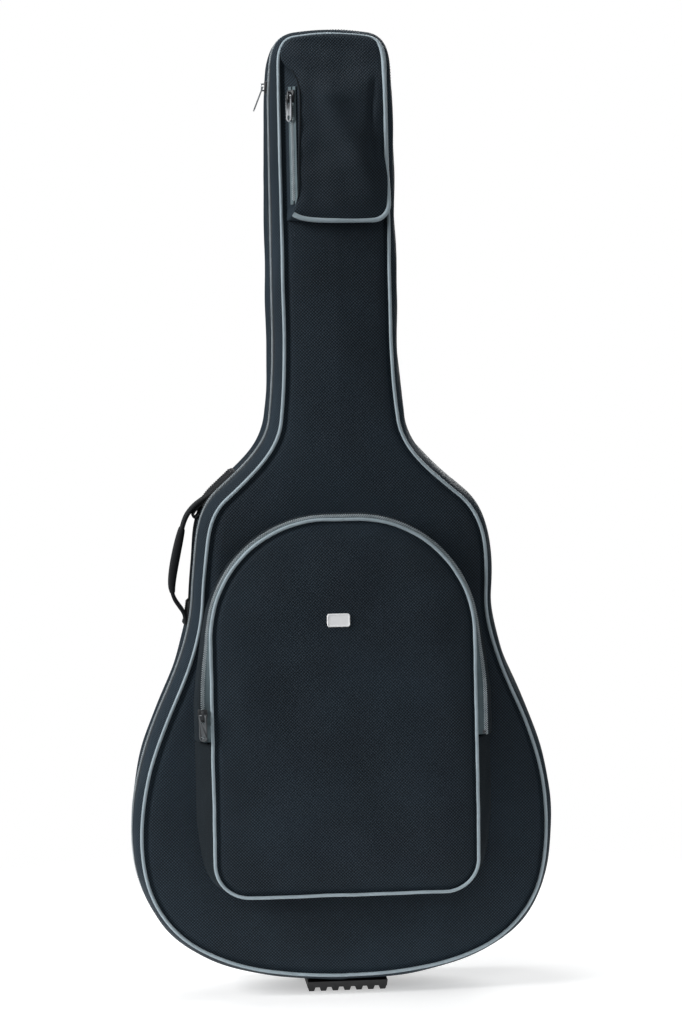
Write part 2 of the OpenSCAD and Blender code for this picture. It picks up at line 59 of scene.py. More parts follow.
camera = bpy.data.objects.new("camera", bpy.data.cameras.new("camera"))
scene.collection.objects.link(camera)
camera_yaw, camera_pitch, camera_roll = (math.radians(a) for a in (5.0, -4.24, -0.96))
ahead = Vector((
    math.sin(camera_yaw) * math.cos(camera_pitch),
    math.cos(camera_yaw) * math.cos(camera_pitch),
    math.sin(camera_pitch),
))
rightward = Vector((math.cos(camera_yaw), -math.sin(camera_yaw), 0))
camera_axes = Matrix((rightward, rightward.cross(ahead), -ahead)).transposed().to_4x4()
camera.matrix_world = (
    Matrix.Translation((-0.3008, -3.4998, 0.8111)) @ camera_axes @ Matrix.Rotation(camera_roll, 4, "Z")
)
camera.data.lens = 107.34
camera.data.sensor_width = 36
camera.data.clip_start = 0.1
scene.camera = camera

# The surround is plain white to look at, and lights the bag as a dimmer, cooler sky.
surround = bpy.data.worlds.new("surround")
surround.use_nodes = True
seen_white = surround.node_tree.nodes["Background"]
seen_white.inputs["Color"].default_value = (1, 1, 1, 1)
sky = surround.node_tree.nodes.new("ShaderNodeBackground")
sky.inputs["Color"].default_value = (0.92, 0.97, 1.0, 1)
sky.inputs["Strength"].default_value = 0.12
which = surround.node_tree.nodes.new("ShaderNodeMixShader")
ray = surround.node_tree.nodes.new("ShaderNodeLightPath")
surround.node_tree.links.new(ray.outputs["Is Camera Ray"], which.inputs[0])
surround.node_tree.links.new(sky.outputs[0], which.inputs[1])
surround.node_tree.links.new(seen_white.outputs[0], which.inputs[2])
surround.node_tree.links.new(which.outputs[0], surround.node_tree.nodes["World Output"].inputs[0])
scene.world = surround


def soft_light(name, place, aim, size, watts):
    """A square area light of the given size at one point, turned to face another."""
    lamp = bpy.data.objects.new(name, bpy.data.lights.new(name, "AREA"))
    lamp.data.shape = "RECTANGLE"
    lamp.data.size, lamp.data.size_y = size
    lamp.data.energy = watts
    lamp.location = place
    lamp.rotation_mode = "QUATERNION"
    lamp.rotation_quaternion = (Vector(aim) - Vector(place)).to_track_quat("-Z", "Y")
    scene.collection.objects.link(lamp)


soft_light("key", (-3.3, -0.9, 1.9), (0, 0, 0.7), (1.0, 2.0), 142)
soft_light("front", (-0.9, -3.6, 2.3), (0, 0, 0.6), (1.6, 1.2), 24)
soft_light("fill", (2.8, -1.4, 1.2), (0, 0, 0.5), (0.9, 1.8), 20)
soft_light("top", (-0.4, 0.3, 3.0), (0, 0, 0.7), (1.6, 0.8), 30)
soft_light("rear", (1.2, 3.0, 1.8), (0, 0, 0.55), (1.8, 1.8), 70)


def operator(operation, reflected=False):
    """The method for an arithmetic sign: it adds the Math node of that operation."""
    def build(self, other):
        return self.maths(operation, *((other, self) if reflected else (self, other)))
    return build


class Wire:
    """A number or colour on its way from one shader node to the next. + - * ** on numbers add the
    Math node for it."""

    def __init__(self, finish, socket):
        self.finish, self.socket = finish, socket

    def maths(self, operation, *values):
        return self.finish.node(
            "ShaderNodeMath", {"operation": operation}, dict(enumerate(values or (self,)))
        )

    __add__, __radd__ = operator("ADD"), operator("ADD", True)
    __sub__, __rsub__ = operator("SUBTRACT"), operator("SUBTRACT", True)
    __mul__, __rmul__ = operator("MULTIPLY"), operator("MULTIPLY", True)
    __pow__ = operator("POWER")

    def wave(self, pitch):
        """Sine of a length, with that pitch, from -1 to 1."""
        return (self * (2 * math.pi / pitch)).maths("SINE")

    def ridges(self, pitch):
        """The same wave from 0 to 1."""
        return self.wave(pitch) * 0.5 + 0.5

    def between(self, low, high):
        """0 below low, 1 above high and a smooth rise between."""
        return self.finish.node(
            "ShaderNodeMapRange",
            {"interpolation_type": "SMOOTHSTEP"},
            {"Value": self, "From Min": low, "From Max": high},
        )


class Finish:
    """A material in the making: its Principled shader with the constants set on its own sockets, and
    one method that adds any other node."""

    def __init__(self, name, **constants):
        self.material = bpy.data.materials.new(name)
        self.material.use_nodes = True
        self.tree = self.material.node_tree
        self.shader = self.tree.nodes["Principled BSDF"]
        self.output = self.tree.nodes["Material Output"]
        for socket, value in constants.items():
            self.shader.inputs[socket.replace("_", " ")].default_value = value

    def node(self, kind, settings=None, sockets=None, out=0):
        """Adds a node, sets it, feeds its sockets with values or wires and returns one output."""
        added = self.tree.nodes.new(kind)
        for key, value in (settings or {}).items():
            setattr(added, key, value)
        for key, value in (sockets or {}).items():
            self.feed(added.inputs[key], value)
        return Wire(self, added.outputs[out])

    def feed(self, socket, value):
        if isinstance(value, Wire):
            self.tree.links.new(value.socket, socket)
        else:
            socket.default_value = value

    def cloth_axes(self):
        """The two coordinates of the piece's own UV map, in metres."""
        split = self.node("ShaderNodeSeparateXYZ", None, {0: self.node("ShaderNodeTexCoord", out=2)})
        return split, Wire(self, split.socket.node.outputs[1])

    def noise(self, scale, detail=3.0, rough=0.5):
        """Soft noise on Object coordinates, 0 to 1, with scale features a metre."""
        return self.node(
            "ShaderNodeTexNoise",
            None,
            {"Vector": self.node("ShaderNodeTexCoord", out=3), "Scale": scale, "Detail": detail,
             "Roughness": rough},
        )

    def blend(self, share, dark, light):
        """The colour that far from dark to light."""
        mix = self.node(
            "ShaderNodeMix", {"data_type": "RGBA"}, {0: share, 6: (*dark, 1), 7: (*light, 1)}
        )
        return Wire(self, mix.socket.node.outputs[2])

    def colour(self, share, dark, light):
        self.feed(self.shader.inputs["Base Color"], self.blend(share, dark, light))

    def rough(self, wire):
        self.feed(self.shader.inputs["Roughness"], wire)

    def relief(self, height, depth):
        """Bump of that height, where 1 stands depth metres proud."""
        self.feed(
            self.shader.inputs["Normal"],
            self.node("ShaderNodeBump", None, {"Height": height, "Distance": depth}),
        )


floor = bpy.data.objects.new("floor", bpy.data.meshes.new("floor"))
floor_steps = 96
floor_turns = np.linspace(0, 2 * math.pi, floor_steps, endpoint=False)
floor_radii = np.array([0.3, 0.7, 1.5])
floor_points = np.concatenate([
    [[0, 0, 0]],
    np.stack([
        np.outer(floor_radii, np.cos(floor_turns)).ravel(),
        np.outer(floor_radii, np.sin(floor_turns)).ravel(),
        np.zeros(floor_radii.size * floor_turns.size),
    ], 1),
])
floor_here = 1 + np.arange(floor_steps)
floor_next = np.roll(floor_here, -1)
floor_fan = np.stack([0 * floor_here, floor_here, floor_next], 1)
floor_rings = [
    np.stack([floor_here + k, floor_here + floor_steps + k, floor_next + floor_steps + k, floor_next + k], 1)
    for k in (0, floor_steps)
]
floor.data.from_pydata(floor_points.tolist(), [], floor_fan.tolist() + np.concatenate(floor_rings).tolist())
scene.collection.objects.link(floor)
floor_finish = Finish(
    "studio_floor", Base_Color=(0.8, 0.8, 0.8, 1), Roughness=0.8, Emission_Color=(1, 1, 1, 1),
    Emission_Strength=0.42,
)
floor_radius = floor_finish.node(
    "ShaderNodeVectorMath", {"operation": "LENGTH"}, {0: floor_finish.node("ShaderNodeTexCoord", out=3)},
    out=1,
)
floor_clear = floor_finish.node("ShaderNodeBsdfTransparent")
floor_finish.feed(
    floor_finish.output.inputs["Surface"],
    floor_finish.node(
        "ShaderNodeMixShader",
        None,
        {0: floor_radius.between(0.35, 0.9), 1: Wire(floor_finish, floor_finish.shader.outputs[0]),
         2: floor_clear},
    ),
)
floor.data.materials.append(floor_finish.material)

# ---- Front and rear panels ----
# Two guitar-shaped panels of 8 mm foam between coated cloth and lining. The foam stops 3 mm short
# of the seam, so the cloth dips to the stitches and rises in a rounded shoulder beside the piping.
seam_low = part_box("front_panel")[0].z
seam_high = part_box("front_panel")[1].z
front_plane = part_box("front_panel")[0].y
rear_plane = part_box("back_panel")[1].y
lean_start = seam_low + 0.55 * (seam_high - seam_low)
front_lean, rear_lean = 0.030, 0.015
# Half-width, share of the height, heading in degrees and pull of each station up the right half
seam_stations = np.array([
    [0.0000, 0.0, 0.0, 1.35],
    [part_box("front_panel")[1].x, 0.150, 90.0, 1.0],
    [0.2000, 0.285, 114.0, 1.0],
    [0.1630, 0.405, 90.0, 1.0],
    [0.1320, 0.512, 139.5, 1.0],
    [0.0660, 0.594, 97.0, 1.0],
    [0.0600, 0.688, 90.0, 1.0],
    [0.0600, 0.953, 90.0, 1.3],
    [0.0400, 1 - 0.003 / (seam_high - seam_low), 172.0, 1.0],
    [0.0000, 1.0, 180.0, 1.0],
])
panel_columns, panel_rows = 84, 300
foam_t, cloth_t = 0.008, 0.0012


def lean_share(z):
    """How far up the leaning part of the bag a height is, from 0 to 1."""
    return np.clip((z - lean_start) / (seam_high - lean_start), 0, None)


def front_at(z):
    return front_plane + front_lean * lean_share(z)


def rear_at(z):
    return rear_plane - rear_lean * lean_share(z)


def length_run(line):
    """Length along a line up to each of its points."""
    return np.concatenate([[0], np.cumsum(np.linalg.norm(np.diff(line, axis=0), axis=1))])


def along_run(run, values, at):
    """The rows of values, which stand at the lengths in run, worked out at other lengths."""
    return np.stack([np.interp(at, run, values[:, k]) for k in range(values.shape[1])], -1)


def along(line, at):
    """The points at those lengths along a line."""
    return along_run(length_run(line), line, at)


def seam_half():
    """Right half of the seam from bottom to top: between two stations the cubic that starts and ends
    there with their headings, each as long as the gap times the pull of the first."""
    t = np.linspace(0, 1, 90, endpoint=False)[:, None]
    spans = []
    for a, b in zip(seam_stations[:-1], seam_stations[1:]):
        p, q = (np.array([s[0], seam_low + s[1] * (seam_high - seam_low)]) for s in (a, b))
        reach = a[3] * np.linalg.norm(q - p)
        da, db = (np.array([math.cos(h), math.sin(h)]) for h in np.radians([a[2], b[2]]))
        spans.append(
            (2 * t**3 - 3 * t**2 + 1) * p + (3 * t**2 - 2 * t**3) * q
            + reach * ((t**3 - 2 * t**2 + t) * da + (t**3 - t**2) * db)
        )
    return np.concatenate(spans + [[[0.0, seam_high]]])


def outward(loop):
    """Unit normals of a closed line that runs anticlockwise in X and Z."""
    ahead = np.roll(loop, -1, 0) - np.roll(loop, 1, 0)
    normal = np.stack([ahead[:, 1], -ahead[:, 0]], 1)
    return normal / np.linalg.norm(normal, axis=1)[:, None]


def closed_line(half, corner_low, corner_high, columns, rows):
    """Closed line of a shape from its right half, even between the lower corner, the upper corner
    and the middle, in that many columns and rows; the left half mirrors the right."""
    run = length_run(half)
    low, high = run[corner_low], run[corner_high]
    marks = np.concatenate([
        np.linspace(0, low, columns // 2 + 1)[:-1],
        np.linspace(low, high, rows + 1)[:-1],
        np.linspace(high, run[-1], columns // 2 + 1),
    ])
    points = along(half, marks)
    return np.concatenate([points, points[-2:0:-1] * [-1, 1]])


half_line = seam_half()
seam = closed_line(
    half_line, np.argmax(half_line[:, 0] > 0.150), np.argmax(half_line[:, 1] > seam_high - 0.011),
    panel_columns, panel_rows,
)


def bump(value, middle, width):
    """A smooth bump of height 1: the bell curve of that middle and width."""
    return np.exp(-(((value - middle) / width) ** 2))


# The sewn seam sits a few millimetres off its pattern at the waist and the lower bout.
waist_left = 0.0045 * bump(seam[:, 1], 0.505, 0.05) + 0.0032 * bump(seam[:, 1], 0.42, 0.2)
waist_right = 0.0036 * bump(seam[:, 1], 0.535, 0.06) - 0.0042 * bump(seam[:, 1], 0.16, 0.08)
off_middle = np.clip(np.abs(seam[:, 0]) / 0.05, 0, 1) ** 2
seam[:, 0] += off_middle * np.where(seam[:, 0] < 0, waist_left, waist_right)
seam_out = outward(seam)
seam_run = length_run(np.concatenate([seam, seam[:1]]))
seam_length = seam_run[-1]


def nearest(flat, dense):
    """Distance from each flat point to the nearest point of a dense line."""
    gaps = [
        np.sqrt(((part[:, None] - dense[None]) ** 2).sum(-1).min(1))
        for part in np.array_split(flat.reshape(-1, 2), 1 + flat.size // 1200)
    ]
    return np.concatenate(gaps).reshape(flat.shape[:-1])


def inset_of(x, z):
    """Distance from points inside the seam's pattern to its nearest point."""
    return nearest(np.stack([x, z], -1), np.concatenate([half_line, half_line[::-1] * [-1, 1]]))


def closed(line):
    """A closed line with its first point again at its end."""
    return np.concatenate([line, line[:1]])


def in_space(flat, y):
    """Flat points in X and Z at that Y."""
    return np.stack([flat[..., 0], y, flat[..., 1]], -1)


def smooth(low, high, value):
    """0 below low, 1 above high and a smooth rise between."""
    t = np.clip((value - low) / (high - low), 0, 1)
    return t * t * (3 - 2 * t)


def rumple(x, z, seed, longest, shortest, waves=9):
    """Gentle unevenness of stretched cloth, about -1 to 1: a sum of sine waves in random headings,
    between the longest and the shortest wavelength."""
    draw = np.random.default_rng(seed)
    total = 0
    for _ in range(waves):
        heading, phase = draw.uniform(0, math.pi), draw.uniform(0, 2 * math.pi)
        wave = shortest * (longest / shortest) ** draw.uniform()
        way = x * math.cos(heading) + z * math.sin(heading)
        total = total + np.sin(2 * math.pi * way / wave + phase)
    return total / math.sqrt(waves)


def lattice(rows, cols, wrap_rows, wrap_cols):
    """Quads of a grid of points, and the same quads on a grid whose wrapped edges aren't joined."""
    r, c = rows - (not wrap_rows), cols - (not wrap_cols)
    i, j = np.meshgrid(np.arange(r), np.arange(c), indexing="ij")
    corners = [(i, j), (i + 1, j), (i + 1, j + 1), (i, j + 1)]
    quads = np.stack([(a % rows) * cols + b % cols for a, b in corners], -1)
    loose = np.stack([a * (c + 1) + b for a, b in corners], -1)
    return quads.reshape(-1, 4), loose.reshape(-1, 4)


def placed(name, mesh, finish):
    """A smooth-shaded piece made of a mesh, with its finish."""
    mesh.polygons.foreach_set("use_smooth", np.ones(len(mesh.polygons), bool))
    mesh.materials.append(finish.material)
    made = bpy.data.objects.new(name, mesh)
    scene.collection.objects.link(made)
    return made


def sew(name, patches, finish, sharp=50):
    """One closed piece from patches, each a grid of points, a grid of UV in metres and whether its
    rows and columns wrap. Edges that meet are welded, and edges over the sharp angle stay crisp."""
    points, quads, corner_uv, base = [], [], [], 0
    for grid, uv, wrap_rows, wrap_cols in patches:
        faces, loose = lattice(*grid.shape[:2], wrap_rows, wrap_cols)
        points.append(grid.reshape(-1, 3))
        quads.append(faces + base)
        corner_uv.append(uv.reshape(-1, 2)[loose].reshape(-1, 2))
        base += points[-1].shape[0]
    mesh = bpy.data.meshes.new(name)
    mesh.from_pydata(np.concatenate(points).tolist(), [], np.concatenate(quads).tolist())
    mesh.uv_layers.new(name="UVMap").data.foreach_set("uv", np.concatenate(corner_uv).ravel())
    work = bmesh.new()
    work.from_mesh(mesh)
    bmesh.ops.remove_doubles(work, verts=work.verts, dist=1e-5)
    bmesh.ops.dissolve_degenerate(work, edges=work.edges, dist=1e-6)
    bmesh.ops.recalc_face_normals(work, faces=work.faces)
    work.to_mesh(mesh)
    work.free()
    made = placed(name, mesh, finish)
    mesh.set_sharp_from_angle(angle=math.radians(sharp))
    return made


def fix(made, body, nodes=(), span=None):
    """Sends a finished piece with its body; given a span, it only bakes its transform in place and gives it
    no body. It hides the solids that it stands for."""
    if span is None:
        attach(made, body)
    else:
        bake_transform(made)
    if nodes is not None:
        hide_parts(*nodes)
    return made


def sides_of(loop, columns, rows):
    """The bottom, right, top and left sides of a closed line that starts at its bottom middle."""
    turned = np.roll(loop, columns // 2, 0)
    return (
        turned[: columns + 1],
        turned[columns : columns + rows + 1],
        turned[columns + rows : 2 * columns + rows + 1][::-1],
        np.concatenate([turned[2 * columns + rows :], turned[:1]])[::-1],
    )


def coons(bottom, right, top, left, u=None, v=None):
    """Grid between four sides: the sum of the two ruled surfaces between opposite sides less the
    ruled surface through the four corners. u and v are the shares along its sides, even if not given."""
    u = (np.linspace(0, 1, len(bottom)) if u is None else u)[None, :, None]
    v = (np.linspace(0, 1, len(right)) if v is None else v)[:, None, None]
    return (
        (1 - v) * bottom[None] + v * top[None] + (1 - u) * left[:, None] + u * right[:, None]
        - (1 - u) * (1 - v) * bottom[0] - u * (1 - v) * bottom[-1]
        - (1 - u) * v * top[0] - u * v * top[-1]
    )


def shoulder_of(inset, dip, rise, width):
    """How far a padded face stands proud at a distance from its seam: it dips at the stitches, then
    rises over the foam's edge within the width."""
    stitched = -dip * (1 - smooth(0.0035, 0.006, inset) * 0.5)
    return stitched + (dip * 0.5 + rise) * smooth(0.003, width, inset)


def fullness(inset):
    """Share of a padded face's crown at a distance from its seam: 0 at the foam's edge, near 1 a
    hand's breadth in."""
    return 1 - np.exp(-np.clip(inset - 0.006, 0, None) / 0.036)


def front_swell(x, z, inset):
    """How far the front panel stands proud of its plane."""
    crown = 0.0060 * fullness(inset)
    loose = 0.0009 * smooth(0.008, 0.05, inset) * rumple(x, z, 11, 0.32, 0.09)
    return shoulder_of(inset, 0.0014, 0.0012, 0.010) + crown + loose


def rear_swell(x, z, inset):
    """How far the rear panel stands proud of its plane, which the shoulder straps lie against."""
    loose = 0.0004 * smooth(0.01, 0.06, inset) * rumple(x, z, 12, 0.3, 0.09)
    return shoulder_of(inset, 0.0014, -0.0002, 0.010) + loose


def padded_face(name, loop, counts, plane, swell, bands, depth, finish, side=-1, gap_of=None, tucks=()):
    """A padded face inside any closed line: bands along the line, a Coons grid inside them, and the
    same grid again as its inner side at the given depth. Its edge turns in by the tucks."""
    bands, loop_out = np.array(bands), outward(loop)
    rings = loop[None] - bands[:, None, None] * loop_out[None]
    grid = coons(*sides_of(rings[-1], *counts))
    dense = along(closed(loop), np.linspace(0, length_run(closed(loop))[-1], 1200))

    def outer(flat, gap=None):
        if gap is None:
            gap = nearest(flat, dense) if gap_of is None else gap_of(flat[..., 0], flat[..., 1])
            gap = np.maximum(gap, bands[-1])
        return in_space(flat, plane(flat[..., 1]) + side * swell(flat[..., 0], flat[..., 1], gap))

    def inner(flat):
        return in_space(flat, plane(flat[..., 1]) - side * depth)

    face = outer(grid)
    ring_face = outer(rings, np.repeat(bands[:, None], len(loop), 1))
    ring_face[-1] = outer(rings[-1])
    ring_uv = np.concatenate([rings, rings[:, :1]], 1)
    edge = [ring_face[0], *(inner(loop - tuck * loop_out) for tuck in tucks), inner(rings[-1])]
    edge_uv = np.stack([ring_uv[0] * (1 - 0.01 * k) for k in range(len(edge))])
    return sew(name, [
        (ring_face, ring_uv, False, True),
        (face, grid, False, False),
        (np.stack(edge), edge_uv, False, True),
        (inner(grid), grid, False, False),
    ], finish)


def woven(name, dark, light, pitch, depth, gloss, sheen):
    """Coated cloth whose thread crossings stand on both diagonals: the product of two sine waves of
    the given pitch, over a slow change of tone and fine fuzz."""
    finish = Finish(
        name, Sheen_Weight=sheen, Sheen_Roughness=0.45, Sheen_Tint=(0.65, 0.85, 1.0, 1),
        Specular_IOR_Level=0.14,
    )
    u, v = finish.cloth_axes()
    crossing = (u.wave(pitch) * v.wave(pitch) * 0.5 + 0.5) ** 1.6
    tone = finish.noise(9, 4).between(0.3, 0.75)
    fuzz = finish.noise(2600, 1)
    finish.colour(crossing * 0.9 + tone * 0.16 + fuzz * 0.2 - 0.10, dark, light)
    finish.rough(gloss + crossing * 0.08 + tone * 0.06)
    finish.relief(crossing + fuzz * 0.5, depth)
    return finish


shell_cloth = woven(
    "shell_cloth", (0.0003, 0.0006, 0.0010), (0.030, 0.050, 0.071), 0.0036, 0.0006, 0.56, 0.04
)
panel_bands = [0, 0.0012, 0.0024, 0.0036, 0.005, 0.0066, 0.0085, 0.011, 0.014]
for name, plane, swell, side, body, nodes, fill in (
    ("front_panel_padded", front_at, front_swell, -1, "lid", ("front_panel", "front_foam"), 0.7),
    ("rear_panel_padded", rear_at, rear_swell, 1, "rear_shell", ("back_panel", "back_foam"), 0.6),
):
    made = padded_face(name, seam, (panel_columns, panel_rows), plane, swell, panel_bands, foam_t + cloth_t,
                       shell_cloth, side, inset_of, (0.0045,))
    fix(made, body, nodes)

# ---- Side walls ----
# Each half has one long padded side wall that runs right round it. It is sewn to the panel under
# the piping, swells outwards over its foam and turns in at the zip tape.
zip_out = 0.0098
zip_lip = 0.0145
wall_swell = np.array([
    [seam_low, 0.0125, 0.0125], [0.10, 0.0105, 0.0105], [0.18, 0.0100, 0.0100], [0.32, 0.0115, 0.0115],
    [0.46, 0.0130, 0.0130], [0.56, 0.0140, 0.0130], [0.66, 0.0140, 0.0140], [0.76, 0.0155, 0.0155],
    [0.94, 0.0150, 0.0150], [1.00, 0.0135, 0.0105], [1.06, 0.0105, 0.0085], [seam_high, 0.0075, 0.0075],
])


def zip_reach(z):
    """Distance of the zip out from the seam: a little less over the top of the head."""
    return zip_out - 0.0034 * smooth(1.020, 1.085, z)


def wall_reach(z, run, t, side):
    """Distance of a side wall's cloth out from the seam, at a share t of the way from the piping to
    the zip: a quick rise, plus half a sine wave for the swell, which is full on the rear half and
    slight on the front, plus shallow creases."""
    right, left = (np.interp(z, wall_swell[:, 0], wall_swell[:, k]) for k in (2, 1))
    bulge = np.where(run < seam_length / 2, right, left)
    crease = 0.0006 * rumple(run, 0.07 * t + side, 21, 0.16, 0.035)
    crease = crease * smooth(0, 0.25, t) * smooth(0, 0.15, 1 - t)
    swell = (bulge - zip_reach(z) * 0.94) * np.sin(math.pi * np.clip(t, 0, 1) ** 0.75)
    swell = swell * (1.0 if side > 0 else 0.12)
    return zip_reach(z) * (1 - (1 - t) ** 5) + swell + crease


def wall_section(plane, side):
    """Closed section of a side wall at every point of the seam, as distance out from the seam and Y:
    the cloth from the piping to the zip, the turned edge and the foam's inner side."""
    z = seam[:, 1:2]
    t = np.concatenate([np.linspace(0, 0.12, 6), np.linspace(0.16, 0.92, 12), np.linspace(0.96, 1, 3)])[None]
    edge, lip = plane(z) - side * 0.0006, side * zip_lip
    y_out = edge + (lip - edge) * t
    out = wall_reach(z, seam_run[:-1, None], t, side)
    y_in = np.array([1, 0.75, 0.5, 0.25, 0.08])[None]
    inner_out = np.array([0.0012, 0.0010, 0.0010, 0.0010, 0.0012])[None] + 0 * z
    turn_out = np.array([0.94, 0.86, 0.51])[None] * zip_reach(z)
    turn_y = side * np.array([0.0138, 0.0022, 0.0018])[None] + 0 * z
    return (
        np.concatenate([out, turn_out, inner_out], 1),
        np.concatenate([y_out, turn_y, (edge + (side * 0.002 - edge) * y_in)], 1),
    )


def swept(grid, run, girth, wrap):
    """Patches of a closed section carried along a line: its skin, with UV from the lengths along and
    round it, and a fan that closes each end of an open line."""
    uv = np.stack([np.repeat(run[:, None], girth.shape[1], 1), girth], -1)
    patches = [(grid, uv, wrap, True)]
    for end in () if wrap else (0, -1):
        middle = np.repeat(grid[end].mean(0)[None], grid.shape[1], 0)
        patches.append((np.stack([grid[end], middle]), np.repeat(uv[end][None], 2, 0), False, True))
    return patches


def carried(out, y, line=None, normal=None, run=None, wrap=True):
    """A closed section carried along a flat line in X and Z: each row is the section at one point of
    the line, as distance out and Y."""
    line = seam if line is None else line
    normal = seam_out if normal is None else normal
    run = seam_run if run is None else run
    grid = np.stack([line[:, :1] + out * normal[:, :1], y + 0 * out, line[:, 1:] + out * normal[:, 1:]], -1)
    step = np.linalg.norm(np.diff(np.concatenate([grid, grid[:, :1]], 1), axis=1), axis=2)
    across = np.concatenate([np.zeros((len(grid), 1)), np.cumsum(step, 1)], 1)
    if wrap:
        across = closed(across)
    return swept(grid, run[: len(across)], across, wrap)


front_section = wall_section(front_at, -1)
rear_section = wall_section(rear_at, 1)
fix(sew("front_side_wall", carried(*front_section), shell_cloth),
    "lid", ("front_gusset", "front_gusset_foam"))
fix(sew("rear_side_wall", carried(*rear_section), shell_cloth),
    "rear_shell", ("rear_gusset", "rear_gusset_foam"))

# ---- Lining ----
# Thin brushed cloth that covers the foam inside both halves. It is caught in the seams and lies a
# little loose, so it shows soft hollows.
lining_t = 0.0008
lining_cloth = Finish("lining_cloth", Sheen_Weight=0.5, Sheen_Roughness=0.6, Specular_IOR_Level=0.2)
lining_nap = lining_cloth.noise(900, 4, 0.65)
lining_tone = lining_cloth.noise(14, 3)
lining_cloth.colour(lining_nap * 0.5 + lining_tone * 0.5, (0.016, 0.016, 0.019), (0.050, 0.050, 0.056))
lining_cloth.rough(0.86 + lining_nap * 0.1)
lining_cloth.relief(lining_nap, 0.0005)


def lining(name, plane, side, seed, finish):
    """Loose lining on a panel's inner side: two faces of a Coons grid, closed at the seam."""
    ring = seam - 0.0008 * seam_out
    grid = coons(*sides_of(ring, panel_columns, panel_rows))[::2, ::2]
    inset = inset_of(grid[..., 0], grid[..., 1])
    inset[0], inset[-1], inset[:, 0], inset[:, -1] = 0, 0, 0, 0
    slack = 0.0007 * smooth(0.0, 0.04, inset) * rumple(grid[..., 0], grid[..., 1], seed, 0.2, 0.05)
    depth = foam_t + cloth_t + 0.0002
    faces = []
    for lift in (0, lining_t):
        proud = depth + lift * smooth(0, 0.004, inset) + np.clip(slack, -0.0001, None)
        faces.append((in_space(grid, plane(grid[..., 1]) - side * proud), grid, False, False))
    return sew(name, faces, finish)


fix(lining("front_panel_lining", front_at, -1, 31, lining_cloth),
    "lid", ("front_lining",))
fix(lining("rear_panel_lining", rear_at, 1, 32, lining_cloth),
    "rear_shell", ("back_lining",))


def wall_lining(plane, side):
    """Thin closed section of the lining inside a side wall."""
    z = seam[:, 1:2]
    t = np.linspace(0.1, 1, 9)[None]
    edge = plane(z) - side * 0.0085
    y = edge + (side * 0.0022 - edge) * t
    slack = 0.0005 * rumple(seam_run[:-1, None], y * 2, 33, 0.15, 0.04) * np.sin(math.pi * t)
    out = 0.0007 + slack
    return (
        np.concatenate([out + 0 * z, (out - lining_t)[:, ::-1] + 0 * z], 1),
        np.concatenate([y, y[:, ::-1]], 1),
    )


fix(sew("front_wall_lining", carried(*wall_lining(front_at, -1)), lining_cloth),
    "lid", ("front_gusset_lining",))
fix(sew("rear_wall_lining", carried(*wall_lining(rear_at, 1)), lining_cloth),
    "rear_shell", ("rear_gusset_lining",))

# ---- Piping ----
# Corded piping in both panel seams: a round cord in satin tape that is caught in the seam.
# Its cover is cut on the bias, so fine ridges run slantwise round it.
piping_r = 0.0019
piping_cover = Finish("piping_cover", Sheen_Weight=0.2, Specular_IOR_Level=0.5, Coat_Roughness=0.4)
pipe_u, pipe_v = piping_cover.cloth_axes()
pipe_ridge = (pipe_u + pipe_v * 1.4).ridges(0.0011)
pipe_tone = piping_cover.noise(30, 3)
pipe_grime = piping_cover.noise(190, 4)
piping_cover.colour(
    pipe_ridge * 0.18 + pipe_tone * 0.45 + pipe_grime * 0.30, (0.15, 0.205, 0.235), (0.50, 0.60, 0.66)
)
piping_cover.rough(0.42 + pipe_grime * 0.18)
piping_cover.relief(pipe_ridge + pipe_grime, 0.00012)


def piping_section(plane_y, side, radius=piping_r, out=0.0006, sides=12, sway=41):
    """Round section of the cord all along a seam, which wanders a little to either side."""
    turn = np.linspace(0, 2 * math.pi, sides, endpoint=False)[None]
    y = plane_y[:, None] + side * 0.0008
    wander = 0.00025 * rumple(plane_y * 0, np.linspace(0, 2.9, len(plane_y)), sway, 0.4, 0.05)[:, None]
    return out + wander + radius * np.cos(turn), y + radius * np.sin(turn)


fix(sew("front_piping_cord", carried(*piping_section(front_at(seam[:, 1]), -1)), piping_cover),
    "lid", ("front_piping",))
fix(sew("rear_piping_cord", carried(*piping_section(rear_at(seam[:, 1]), 1, sway=42)), piping_cover),
    "rear_shell", ("rear_piping",))

# ---- Main zip ----
# A nylon coil zip in woven tape that runs round the side walls from the lower right, over the head
# and back to the lower right. Each half is stitched to one wall with a double row.
hinge_low, hinge_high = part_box("hinge_panel")[0].z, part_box("hinge_panel")[1].z
zip_tape = Finish("zip_tape", Sheen_Weight=0.08, Specular_IOR_Level=0.2)
tape_u, tape_v = zip_tape.cloth_axes()
tape_rib = tape_u.ridges(0.0008)
tape_twill = (tape_u + tape_v * 2).ridges(0.0016)
tape_tone = zip_tape.noise(40, 3)
zip_tape.colour(
    tape_rib * 0.25 + tape_twill * 0.25 + tape_tone * 0.4, (0.007, 0.011, 0.014), (0.028, 0.040, 0.049)
)
zip_tape.rough(0.72 + tape_tone * 0.15)
zip_tape.relief(tape_rib + tape_twill, 0.00012)

coil_nylon = Finish("coil_nylon", Specular_IOR_Level=0.5)
coil_tone = coil_nylon.noise(120, 3)
coil_nylon.colour(coil_tone, (0.26, 0.31, 0.34), (0.58, 0.64, 0.67))
coil_nylon.rough(0.34 + coil_tone * 0.2)
coil_nylon.relief(coil_nylon.noise(1500, 2), 0.00005)

thread = Finish("sewing_thread", Sheen_Weight=0.3, Specular_IOR_Level=0.4)
thread_u, thread_v = thread.cloth_axes()
thread_twist = (thread_u + thread_v).ridges(0.0005)
thread.colour(thread_twist * 0.5 + thread.noise(60) * 0.4, (0.010, 0.012, 0.015), (0.050, 0.056, 0.064))
thread.rough(0.6 + thread_twist * 0.1)
thread.relief(thread_twist, 0.0001)

